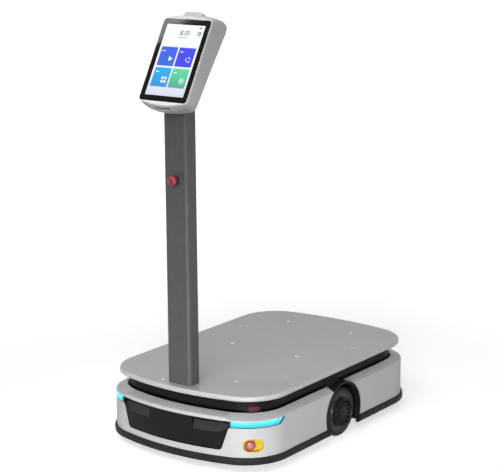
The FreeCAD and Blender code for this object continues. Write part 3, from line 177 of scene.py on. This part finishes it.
def light_guide():
    """Lit guide: a painted highlight along its upper edge, a painted shadow line along its lower edge, and a
    dark slanted block at each end.
    """
    s = Shader("light_guide", (0.004, 0.04, 0.05), 0.30, Specular_IOR_Level=0.12)
    split = s.node("ShaderNodeSeparateXYZ")
    s.link(s.coords(), split.inputs[0])
    x = s.node("ShaderNodeMath", operation="ABSOLUTE")
    s.link(split.outputs["X"], x.inputs[0])
    slope = s.node("ShaderNodeMath", operation="MULTIPLY_ADD")
    s.link(split.outputs["Z"], slope.inputs[0])
    slope.inputs[1].default_value = -STRIP_SLANT
    s.link(split.outputs["Y"], slope.inputs[2])
    tip = STRIP_TIP_Y - STRIP_SLANT * STRIP_HIGH
    # Painted highlight: the glow turns paler towards the strip's upper edge.
    height = s.ramp(split.outputs["Z"], 0, 1, STRIP_LOW + 0.006, STRIP_HIGH - 0.002)
    body = s.mix(height, STRIP_GLOW, STRIP_PAINTED_HIGHLIGHT)
    near = s.ramp(x.outputs[0], 1, 0, STRIP_FRONT_X + 0.0030, STRIP_FRONT_X + 0.0050)
    far = s.ramp(slope.outputs[0], 0, 1, tip - 0.0150, tip - 0.0125)
    seam = s.ramp(slope.outputs[0], 0, 0.55, tip - 0.030, tip - 0.0285)
    seam_end = s.ramp(slope.outputs[0], 1, 0, tip - 0.0265, tip - 0.025)
    both = s.node("ShaderNodeMath", operation="MULTIPLY")
    s.link(seam, both.inputs[0])
    s.link(seam_end, both.inputs[1])
    # Painted shadow: a dark line along the strip's lower edge.
    rim = s.ramp(split.outputs["Z"], 1, 0, STRIP_LOW + 0.0026, STRIP_LOW + 0.0040)
    for factor in (both.outputs[0], near, far, rim):
        body = s.mix(factor, body, STRIP_END_AND_SHADOW)
    s.link(body, s.bsdf.inputs["Emission Color"])
    s.set("Emission Strength", 1.0)
    return s.tint(s.noise(0.004, 1.0), 0.03).material


def stop_red(name, tip, out):
    """Glossy red mushroom head with painted light: its face is painted paler than its deep red sides."""
    s = Shader(name, (0.30, 0.022, 0.035), 0.32, Specular_IOR_Level=0.4)
    reach = s.node("ShaderNodeVectorMath", operation="DOT_PRODUCT")
    s.link(s.coords(), reach.inputs[0])
    reach.inputs[1].default_value = out
    height = Vector(tip).dot(Vector(out))
    # Painted light: the pale face colour stands in for the light falling on the head's face.
    painted_light_face = s.mix(s.noise(0.004, 2.0), (0.46, 0.19, 0.17), (0.42, 0.165, 0.155))
    face = s.ramp(reach.outputs["Value"], 0, 1, height - 0.0028, height - 0.0012)
    s.link(s.mix(face, s.base, painted_light_face), s.bsdf.inputs["Base Color"])
    s.rough(s.noise(0.01, 3.0), 0.28, 0.38)
    return s.bump(s.noise(0.002, 2.0), 0.00001, 0.4).material


def panel_black():
    """Satin front panel; faces that point upwards, such as the sloping niche floors, are painted paler as
    painted light from above, with a fine grain.
    """
    s = Shader("panel_black", (0.006, 0.006, 0.0065), 0.40, Specular_IOR_Level=0.10)
    way = s.node("ShaderNodeSeparateXYZ")
    s.link(s.node("ShaderNodeTexCoord").outputs["Normal"], way.inputs[0])
    # Painted light: faces pointing upwards are painted paler, as if lit from above.
    floor = s.ramp(way.outputs["Z"], 0, 1, 0.20, 0.30)
    grain = s.mix(s.noise(0.0012, 2.0), (0.021, 0.021, 0.022), (0.028, 0.028, 0.029))
    s.link(s.mix(floor, s.base, grain), s.bsdf.inputs["Base Color"])
    s.rough(s.noise(0.03, 3.0), 0.38, 0.46)
    return s.bump(s.noise(0.0012, 2.0), 0.00001, 0.4).material


POST_STOP_TIP = (0, -0.4625, 0.855)
BASE_STOP_OUT = (0.7033947, -0.7107995, 0)
BASE_STOP_TIP = tuple(Vector((0.2587119, -0.4173644, 0.0835)) + Vector(BASE_STOP_OUT) * 0.0025)

MATERIALS = {
    "deck_silver": silver_paint("deck_silver", (0.42, 0.42, 0.425), 0.42, 0.15),
    "shell_silver": silver_paint("shell_silver", (0.44, 0.44, 0.445), 0.42, 0.03),
    "head_silver": silver_paint("head_silver", (0.60, 0.60, 0.605), 0.42, 0.03),
    "mast_silver": metal("mast_grey", (0.069, 0.069, 0.070), 0.50, (1, 1, 0.02), 0.0012, metallic=0.3),
    "panel_black": panel_black(),
    "bumper_rubber": moulded("bumper_rubber", (0.012, 0.012, 0.013), 0.55, specular=0.15),
    "fender_black": moulded("fender_black", (0.009, 0.009, 0.010), 0.50, specular=0.12),
    "ring_black": moulded("ring_black", (0.003, 0.003, 0.0035), 0.55, specular=0.12),
    "frame_black": moulded("frame_black", (0.012, 0.012, 0.013), 0.55),
    "zinc_steel": metal("zinc_steel", (0.60, 0.61, 0.63), 0.35),
    "bright_steel": metal("bright_steel", (0.85, 0.85, 0.86), 0.25),
    "drive_tyre": moulded("drive_tyre", (0.008, 0.008, 0.009), 0.60, 0.0010, 0.00006, 0.2),
    "motor_case": moulded("motor_case", (0.022, 0.022, 0.023), 0.38, 0.0009, 0.00003),
    "hub_grey": moulded("hub_grey", (0.008, 0.008, 0.009), 0.42, specular=0.12),
    "arm_cast": moulded("arm_cast", (0.05, 0.05, 0.052), 0.60, 0.0015, 0.00012, Metallic=0.5),
    "elastomer": moulded("elastomer", (0.018, 0.018, 0.018), 0.65),
    "caster_tread": moulded("caster_tread", (0.08, 0.08, 0.085), 0.55),
    "light_guide": light_guide(),
    "stop_yellow": moulded("stop_yellow", (0.58, 0.42, 0.035), 0.40, 0.002, 0.00001),
    "stop_grey": moulded("stop_grey", (0.03, 0.03, 0.03), 0.45),
    "screen_glass": moulded("screen_glass", (0.003, 0.003, 0.0035), 0.05, 0.03, 0.0, 0.10),
    "screen_module": moulded("screen_module", (0.02, 0.03, 0.05), 0.4),
    "scanner_black": moulded("scanner_black", (0.02, 0.02, 0.022), 0.5),
    "scanner_window": moulded("scanner_window", (0.10, 0.008, 0.02), 0.15, 0.003, 0.0),
    "camera_alloy": metal("camera_alloy", (0.06, 0.06, 0.062), 0.45),
    "battery_case": moulded("battery_case", (0.04, 0.04, 0.045), 0.5),
    "electronics_alloy": metal("electronics_alloy", (0.35, 0.35, 0.36), 0.45),
    "charge_insulator": moulded("charge_insulator", (0.012, 0.012, 0.013), 0.5),
    "contact_brass": metal("contact_brass", (0.80, 0.62, 0.30), 0.28, (0.05, 1, 1)),
    "button_grey": moulded("button_grey", (0.10, 0.10, 0.105), 0.4),
}
NODE_MATERIALS = {
    "post_stop_head": stop_red("post_stop_red", POST_STOP_TIP, (0, -1, 0)),
    "base_stop_head": stop_red("base_stop_red", BASE_STOP_TIP, BASE_STOP_OUT),
    "head_bezel": silver_paint("bezel_white", (0.80, 0.80, 0.805), 0.38, 0.0),
}


def dress_frame():
    for row in frame["record"]["subparts"]:
        mesh = nodes[row["node"]].data
        mesh.materials.clear()
        mesh.materials.append(NODE_MATERIALS.get(row["node"]) or MATERIALS[row["material_slot"]])


# --- mesh helpers -----------------------------------------------------------------------
def mesh_object(name, points, faces, material, body="chassis", smooth=False):
    mesh = bpy.data.meshes.new(name)
    mesh.from_pydata([tuple(p) for p in points], [], faces)
    mesh.materials.append(material)
    mesh.update()
    made = bpy.data.objects.new(name, mesh)
    bpy.context.scene.collection.objects.link(made)
    if smooth:
        mesh.shade_smooth()
    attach(made, body)
    return made


def place_axes(origin, across, up):
    """A matrix whose X runs across, Y up and Z out of the face."""
    across, up = Vector(across).normalized(), Vector(up).normalized()
    out = across.cross(up)
    return Matrix.Translation(origin) @ Matrix((across, up, out)).transposed().to_4x4()


def rounded(width, height, radius, steps=5):
    """Outline of a rounded rectangle, anticlockwise."""
    points = []
    for i, (sx, sy) in enumerate(((1, 1), (-1, 1), (-1, -1), (1, -1))):
        centre = Vector((sx * (width / 2 - radius), sy * (height / 2 - radius)))
        for k in range(steps + 1):
            a = math.pi / 2 * (i + k / steps)
            points.append(centre + Vector((math.cos(a), math.sin(a))) * radius)
    return points


def disc(radius, steps=24):
    angles = [2 * math.pi * k / steps for k in range(steps)]
    return [Vector((math.cos(a), math.sin(a))) * radius for a in angles]


class Sheet:
    """Thin raised shapes that lie on one flat face, gathered into one piece."""

    def __init__(self, matrix, thickness=0.00012):
        self.matrix = matrix
        self.thickness = thickness
        self.points, self.faces, self.slots, self.materials = [], [], [], []

    def add(self, outline, material, at=(0, 0), layer=0):
        """A closed outline, lifted by its layer, with a wall down to the face."""
        if material not in self.materials:
            self.materials.append(material)
        slot = self.materials.index(material)
        base, count = len(self.points), len(outline)
        lift = self.thickness * (layer + 1)
        for z in (lift, 0.0):
            self.points += [self.matrix @ Vector((p.x + at[0], p.y + at[1], z)) for p in outline]
        self.faces.append(list(range(base, base + count)))
        for k in range(count):
            n = (k + 1) % count
            self.faces.append([base + k, base + count + k, base + count + n, base + n])
        self.slots += [slot] * (count + 1)

    def ring(self, radius, width, material, at=(0, 0), layer=0, start=0.0, turn=360.0, steps=24):
        """Part of a flat ring, from angle start through turn degrees."""
        angles = [math.radians(start + turn * k / steps) for k in range(steps + 1)]
        ways = [Vector((math.cos(a), math.sin(a))) for a in angles]
        outer = [w * (radius + width / 2) for w in ways]
        inner = [w * (radius - width / 2) for w in ways]
        for k in range(steps):
            self.add([outer[k], outer[k + 1], inner[k + 1], inner[k]], material, at, layer)

    def piece(self, name, body="chassis"):
        made = mesh_object(name, self.points, self.faces, self.materials[0], body)
        for material in self.materials[1:]:
            made.data.materials.append(material)
        for face, index in zip(made.data.polygons, self.slots):
            face.material_index = index
        return made


def lathe(name, origin, out, profile, material, body="chassis", steps=40):
    """A turned piece about the axis out: profile is (height along out, radius) pairs."""
    out = Vector(out).normalized()
    side = out.orthogonal().normalized()
    turn = out.cross(side)
    points, faces = [], []
    for height, radius in profile:
        for k in range(steps):
            a = 2 * math.pi * k / steps
            points.append(Vector(origin) + out * height + (side * math.cos(a) + turn * math.sin(a)) * radius)
    for row in range(len(profile) - 1):
        for k in range(steps):
            n = (k + 1) % steps
            a, b = row * steps, (row + 1) * steps
            faces.append([a + k, b + k, b + n, a + n])
    faces.append(list(range(steps)))
    faces.append([(len(profile) - 1) * steps + k for k in reversed(range(steps))])
    return mesh_object(name, points, faces, material, body, smooth=True)


def dome(name, origin, out, radius, height, material, body="chassis"):
    """A shallow lens: a spherical cap with a short rim."""
    angles = [math.pi / 2 * k / 8 for k in range(8, 0, -1)]
    rise = [(height * math.cos(a), radius * math.sin(a)) for a in angles]
    profile = [(-height, radius)] + rise + [(height, radius * 0.02)]
    return lathe(name, origin, out, profile, material, body)


# --- screen -----------------------------------------------------------------------------
SCREEN_TILT = math.radians(29.6)
SCREEN_CENTRE = Vector((0, -0.4185, 1.2055))
SCREEN_UP = Vector((0, math.sin(SCREEN_TILT), math.cos(SCREEN_TILT)))
SCREEN_SIZE = (0.1405, 0.2233)
SCREEN_OUT = Vector((1, 0, 0)).cross(SCREEN_UP)
GLASS_PROUD = 0.0002
TRIANGLE = [Vector((0.009 * math.cos(a), 0.009 * math.sin(a))) for a in (0, 2.0944, 4.18879)]
STROKES = {
    "0": ("top", "upper_left", "upper_right", "lower_left", "lower_right", "bottom"),
    "1": ("upper_right", "lower_right"),
    "2": ("top", "upper_right", "middle", "lower_left", "bottom"),
    "5": ("top", "upper_left", "middle", "lower_right", "bottom"),
}


def lit(name, colour):
    """A shape on the screen: it glows and reflects next to nothing itself."""
    s = Shader(name, (0.0, 0.0, 0.0), 0.35, Specular_IOR_Level=0.1)
    s.set("Emission Color", (*colour, 1))
    s.set("Emission Strength", 1.0)
    return s


def lit_gradient(name, low, high, from_u, to_u):
    """A lit surface that shades from one colour at height from_u to another at to_u."""
    s = lit(name, low)
    split = s.node("ShaderNodeSeparateXYZ")
    s.link(s.coords(), split.inputs[0])
    from_z, to_z = (SCREEN_CENTRE.z + SCREEN_UP.z * u for u in (from_u, to_u))
    shade = s.ramp(split.outputs["Z"], 0, 1, from_z, to_z)
    s.link(s.mix(shade, low, high), s.bsdf.inputs["Emission Color"])
    return s.material


def bar(width, height):
    return [Vector((x * width / 2, y * height / 2)) for x, y in ((1, 1), (-1, 1), (-1, -1), (1, -1))]


def digit(sheet, number, at, size, weight, ink):
    """A plain figure from straight strokes."""
    w, h = size
    places = {
        "top": (0, h / 2, w, weight),
        "middle": (0, 0, w, weight),
        "bottom": (0, -h / 2, w, weight),
        "upper_left": (-w / 2, h / 4, weight, h / 2),
        "upper_right": (w / 2, h / 4, weight, h / 2),
        "lower_left": (-w / 2, -h / 4, weight, h / 2),
        "lower_right": (w / 2, -h / 4, weight, h / 2),
    }
    for stroke in STROKES[number]:
        x, y, wide, high = places[stroke]
        stroke_bar = bar(wide + weight * (wide == w), high + weight * (high != weight))
        sheet.add(stroke_bar, ink, (at[0] + x, at[1] + y), 1)


def screen():
    """Home page of the operator screen: clock, four tiles with plain icons, status marks."""
    sheet = Sheet(place_axes(SCREEN_CENTRE + SCREEN_OUT * GLASS_PROUD, (1, 0, 0), SCREEN_UP))
    page = lit_gradient("screen_page", (0.72, 0.75, 0.86), (0.93, 0.95, 0.98), -0.105, -0.03)
    white = lit("screen_white", (0.95, 0.97, 1.0)).material
    ink = lit("screen_ink", (0.07, 0.08, 0.10)).material
    faint = lit("screen_faint", (0.45, 0.47, 0.52)).material
    accent = lit("screen_accent", (0.04, 0.11, 0.42)).material
    sheet.add(rounded(*SCREEN_SIZE, 0.001, 2), page)
    for x, number in ((-0.0145, "1"), (-0.0060, "0"), (0.0075, "2"), (0.0170, "5")):
        digit(sheet, number, (x, 0.0860), (0.0054, 0.0120), 0.0019, ink)
    for y in (0.083, 0.089):
        sheet.add(bar(0.0016, 0.0016), ink, (0.0008, y), 1)
    sheet.add(rounded(0.034, 0.0028, 0.001, 3), faint, (0.001, 0.0715), 1)
    sheet.ring(0.0046, 0.0034, accent, (0.057, 0.086), 1)
    sheet.add(disc(0.0014, 12), ink, (0.0445, 0.1035), 1)
    sheet.add(rounded(0.0085, 0.0038, 0.0012, 3), ink, (0.0560, 0.1035), 1)
    tiles = {
        "upper_left": (-0.0325, 0.0105, (0.035, 0.14, 0.72), (0.035, 0.105, 0.86)),
        "upper_right": (0.0330, 0.0105, (0.045, 0.06, 0.80), (0.045, 0.05, 0.88)),
        "lower_left": (-0.0325, -0.0550, (0.02, 0.33, 0.72), (0.015, 0.42, 0.90)),
        "lower_right": (0.0330, -0.0550, (0.085, 0.42, 0.32), (0.11, 0.72, 0.36)),
    }
    for name, (x, u, low, high) in tiles.items():
        fill = lit_gradient("tile_" + name, low, high, u - 0.03, u + 0.03)
        sheet.add(rounded(0.0605, 0.0600, 0.0015, 3), fill, (x, u), 1)
        sheet.add(rounded(0.012, 0.0026, 0.001, 3), white, (x - 0.0185, u + 0.0165), 2)
    sheet.add(TRIANGLE, white, (-0.0205, 0.0035), 2)
    for start in (20, 140, 260):
        sheet.ring(0.0072, 0.0026, white, (0.0455, 0.0035), 2, start, 80, 10)
    for dx in (-0.0055, 0.0055):
        for du in (-0.0055, 0.0055):
            sheet.add(rounded(0.0078, 0.0078, 0.002, 3), white, (-0.0195 + dx, -0.0625 + du), 2)
    sheet.ring(0.0078, 0.0018, white, (0.0455, -0.0625), 2)
    sheet.add(disc(0.0036, 16), white, (0.0455, -0.0625), 2)
    return sheet.piece("screen_picture")


# --- lenses and small trim --------------------------------------------------------------
CAMERA_X = 0.132
CAMERA_FACE_Y = -0.4400
CAMERA_Z = 0.147
CAMERA_BARRELS = ((-0.030, 0.0037), (0.0, 0.0022), (0.026, 0.0037))
LENS_GLASS = moulded("lens_glass", (0.008, 0.010, 0.016), 0.05, 0.02, 0.0, 0.8)


def camera_lenses():
    """Dark coated glass in each barrel of the two depth cameras."""
    for side, sign in BOTH_SIDES:
        for number, (dx, radius) in enumerate(CAMERA_BARRELS, 1):
            centre = Vector((sign * (CAMERA_X + dx), CAMERA_FACE_Y, CAMERA_Z))
            name = f"lens_{side}_{number}"
            dome(name, centre, (0, -1, 0), radius, 0.0010, LENS_GLASS)


# (radius, distance behind the tip) down the domed face of a stop button
STOP_FACE = ((0.0, 0.0), (0.006, -0.0005), (0.0105, -0.0018), (0.0132, -0.0034))


MARK_ROOT, MARK_TOP = -0.0002, 0.00012


def face_height(radius):
    """How far the domed face of a stop button lies behind its tip at this radius."""
    for (r0, h0), (r1, h1) in zip(STOP_FACE, STOP_FACE[1:]):
        if radius <= r1:
            return h0 + (h1 - h0) * (radius - r0) / (r1 - r0)
    return STOP_FACE[-1][1]


def twist_marks(name, tip, out, body):
    """A dark ring, painted shade standing for a moulded groove, and three turning arrows on the face of a
    stop button.
    """
    # One dark material for both: the arrows are marks, the ring is painted groove shade.
    ink = moulded(name + "_ink", (0.16, 0.012, 0.018), 0.35, 0.002, 0.00001)
    side = Vector((0, 0, 1))
    turn = Vector(out).cross(side)
    points, faces = [], []

    def at(angle, radius, lift):
        way = side * math.cos(angle) + turn * math.sin(angle)
        return Vector(tip) + Vector(out) * (face_height(radius) + lift) + way * radius

    def band(start, sweep, steps, inner, outer):
        base = len(points)
        for k in range(steps + 1):
            a = math.radians(start + sweep * k / steps)
            share = k / steps
            near, far = inner(share), outer(share)
            corners = ((near, MARK_ROOT), (near, MARK_TOP), (far, MARK_TOP), (far, MARK_ROOT))
            points.extend(at(a, radius, lift) for radius, lift in corners)
        for k in range(steps):
            a, b = base + 4 * k, base + 4 * k + 4
            faces.extend([a + j, a + j + 1, b + j + 1, b + j] for j in range(3))

    # Painted shade: the dark ring stands for the shade in a groove round the face.
    band(0, 360, 48, lambda t: 0.0096, lambda t: 0.0109)
    for start in (0, 120, 240):
        band(start, 62, 12, lambda t: 0.0052, lambda t: 0.0066)
        band(start + 62, 26, 4, lambda t: 0.0040 + 0.0019 * t, lambda t: 0.0078 - 0.0019 * t)
    mesh_object(name, points, faces, ink, body)


SLOT_WIDTH, SLOT_DEPTH = 0.054, 0.0075
SLOT_DROP = 0.1475
SLOT_BACK = 0.02175
SLOT_PLAY = 0.0004
CHIN_LENS_X = 0.014
WINDOW_STEPS = ((-0.0020, 0.0), (-0.0006, 0.0), (0.0, 0.0006))


def chin_window():
    """Dark scanner window set into the slot under the screen, with two small lenses."""
    glass = moulded("chin_glass", (0.010, 0.010, 0.012), 0.18, 0.004, 0.0, 0.2)
    centre = SCREEN_CENTRE - SCREEN_UP * SLOT_DROP - SCREEN_OUT * SLOT_BACK
    matrix = place_axes(centre, (1, 0, 0), SCREEN_OUT)
    points, faces = [], []
    for z, inset in WINDOW_STEPS:
        width = SLOT_WIDTH - SLOT_PLAY - 2 * inset
        depth = SLOT_DEPTH - SLOT_PLAY - 2 * inset
        outline = rounded(width, depth, 0.0012 - inset, 3)
        points += [matrix @ Vector((p.x, p.y, z)) for p in outline]
    count = len(points) // len(WINDOW_STEPS)
    for row in range(len(WINDOW_STEPS) - 1):
        for k in range(count):
            n = (k + 1) % count
            a, b = row * count, (row + 1) * count
            faces.append([a + k, a + n, b + n, b + k])
    faces.append(list(reversed(range(count))))
    faces.append([2 * count + k for k in range(count)])
    mesh_object("chin_window", points, faces, glass)
    for side, sign in BOTH_SIDES:
        spot = matrix @ Vector((sign * CHIN_LENS_X, 0, 0))
        dome("chin_lens_" + side, spot, -SCREEN_UP, 0.0026, 0.0008, LENS_GLASS)


def suspension_springs():
    """Rubber springs over the drive arms: copies of the imported springs, whose originals are hidden."""
    for side, sign in BOTH_SIDES:
        node = nodes["suspension_spring_" + side]
        spring = bpy.data.objects.new("rubber_spring_" + side, node.data.copy())
        bpy.context.scene.collection.objects.link(spring)
        spring.matrix_world = node.matrix_world.copy()
        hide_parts("suspension_spring_" + side)
        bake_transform(spring)


# --- studio -----------------------------------------------------------------------------
def background_mask(tree):
    """1 for rays that show the background: camera, glossy and transmission rays."""
    path = tree.nodes.new("ShaderNodeLightPath")
    last = path.outputs["Is Camera Ray"]
    for name in ("Is Glossy Ray", "Is Transmission Ray"):
        add = tree.nodes.new("ShaderNodeMath")
        add.operation = "MAXIMUM"
        tree.links.new(last, add.inputs[0])
        tree.links.new(path.outputs[name], add.inputs[1])
        last = add.outputs[0]
    return last


HORIZON_LIGHT = 0.10
ZENITH_LIGHT = 0.45


def studio_world():
    """Soft even light, a little stronger from overhead; white where it is seen."""
    world = bpy.data.worlds.new("studio")
    bpy.context.scene.world = world
    world.use_nodes = True
    tree = world.node_tree
    soft = tree.nodes["Background"]
    soft.inputs["Color"].default_value = (1, 1, 1, 1)
    way = tree.nodes.new("ShaderNodeTexCoord")
    split = tree.nodes.new("ShaderNodeSeparateXYZ")
    grade = tree.nodes.new("ShaderNodeMapRange")
    grade.inputs["To Min"].default_value = HORIZON_LIGHT
    grade.inputs["To Max"].default_value = ZENITH_LIGHT
    tree.links.new(way.outputs["Generated"], split.inputs[0])
    tree.links.new(split.outputs["Z"], grade.inputs["Value"])
    tree.links.new(grade.outputs["Result"], soft.inputs["Strength"])
    white = tree.nodes.new("ShaderNodeBackground")
    mix = tree.nodes.new("ShaderNodeMixShader")
    white.inputs["Color"].default_value = (1, 1, 1, 1)
    tree.links.new(background_mask(tree), mix.inputs[0])
    tree.links.new(soft.outputs[0], mix.inputs[1])
    tree.links.new(white.outputs[0], mix.inputs[2])
    tree.links.new(mix.outputs[0], tree.nodes["World Output"].inputs["Surface"])


FLOOR_SIZE = 160
FLOOR_PAINT = 0.80
FLOOR_BOUNCE = 0.14
NEAR_GLOW = 0.56
GLOW_START, GLOW_FULL = 1.0, 3.0


def studio_floor():
    """Pale floor that takes the shadow near the robot and runs out to plain white."""
    bpy.ops.mesh.primitive_plane_add(size=FLOOR_SIZE, location=(0, 0, 0))
    floor = bpy.context.object
    floor.name = "floor"
    material = bpy.data.materials.new("floor")
    material.use_nodes = True
    tree = material.node_tree
    seen = background_mask(tree)
    paint = tree.nodes["Principled BSDF"]
    paint.inputs["Roughness"].default_value = 0.9
    paint.inputs["Specular IOR Level"].default_value = 0.1
    tone = tree.nodes.new("ShaderNodeMapRange")
    tone.inputs["To Min"].default_value = FLOOR_BOUNCE
    tone.inputs["To Max"].default_value = FLOOR_PAINT
    tree.links.new(seen, tone.inputs["Value"])
    tree.links.new(tone.outputs["Result"], paint.inputs["Base Color"])
    place = tree.nodes.new("ShaderNodeTexCoord")
    far = tree.nodes.new("ShaderNodeVectorMath")
    far.operation = "LENGTH"
    grade = tree.nodes.new("ShaderNodeMapRange")
    span = (("From Min", GLOW_START), ("From Max", GLOW_FULL), ("To Min", NEAR_GLOW), ("To Max", 1.0))
    for key, value in span:
        grade.inputs[key].default_value = value
    tree.links.new(place.outputs["Object"], far.inputs[0])
    tree.links.new(far.outputs["Value"], grade.inputs["Value"])
    share = tree.nodes.new("ShaderNodeMath")
    share.operation = "MULTIPLY"
    tree.links.new(seen, share.inputs[0])
    tree.links.new(grade.outputs["Result"], share.inputs[1])
    glow = tree.nodes.new("ShaderNodeEmission")
    tree.links.new(share.outputs[0], glow.inputs["Strength"])
    both = tree.nodes.new("ShaderNodeAddShader")
    tree.links.new(paint.outputs[0], both.inputs[0])
    tree.links.new(glow.outputs[0], both.inputs[1])
    tree.links.new(both.outputs[0], tree.nodes["Material Output"].inputs["Surface"])
    floor.data.materials.append(material)


def lamp(name, place, target, size, power, spread):
    data = bpy.data.lights.new(name, "AREA")
    data.shape = "RECTANGLE"
    data.size, data.size_y = size
    data.energy = power
    data.spread = math.radians(spread)
    made = bpy.data.objects.new(name, data)
    bpy.context.scene.collection.objects.link(made)
    made.location = place
    made.rotation_euler = (Vector(target) - Vector(place)).to_track_quat("-Z", "Y").to_euler()


CAMERA_PLACE = Vector((2.9244, -4.0206, 1.7324))
CAMERA_TARGET = Vector((-0.02361, -0.01895, 0.60825))
CAMERA_ROLL = math.radians(-0.39)
CAMERA_LENS = 114.82


def camera():
    data = bpy.data.cameras.new("camera")
    data.lens = CAMERA_LENS
    data.sensor_width = 36
    data.clip_end = 60
    made = bpy.data.objects.new("camera", data)
    bpy.context.scene.collection.objects.link(made)
    aim = (CAMERA_TARGET - CAMERA_PLACE).to_track_quat("-Z", "Y")
    roll = Matrix.Rotation(CAMERA_ROLL, 4, "Z")
    made.matrix_world = Matrix.Translation(CAMERA_PLACE) @ aim.to_matrix().to_4x4() @ roll
    bpy.context.scene.camera = made


# name, place, target, size (metres), power (watts), spread (degrees)
LAMPS = (
    ("front_low", (1.7, -3.2, 0.50), (0, -0.35, 0.12), (1.6, 0.7), 9.3, 40),
    ("front_high", (0.25, -1.9, 2.05), (-0.05, -0.45, 0.6), (1.2, 0.8), 3.9, 80),
    ("side", (4.0, 0.6, 0.55), (0.1, -0.1, 0.75), (1.6, 1.2), 6.2, 80),
    ("glare", (-1.325, -1.112, 2.583), (0, -0.4185, 1.2055), (0.40, 0.38), 1.1, 60),
)


def studio():
    bpy.context.scene.view_settings.view_transform = "Standard"
    studio_world()
    studio_floor()
    for row in LAMPS:
        lamp(*row)
    camera()


# --- assembly ---------------------------------------------------------------------------
dress_frame()
screen()
camera_lenses()
chin_window()
suspension_springs()
twist_marks("post_stop_marks", POST_STOP_TIP, (0, -1, 0), "post_stop_knob")
twist_marks("base_stop_marks", BASE_STOP_TIP, BASE_STOP_OUT, "base_stop_knob")
studio()
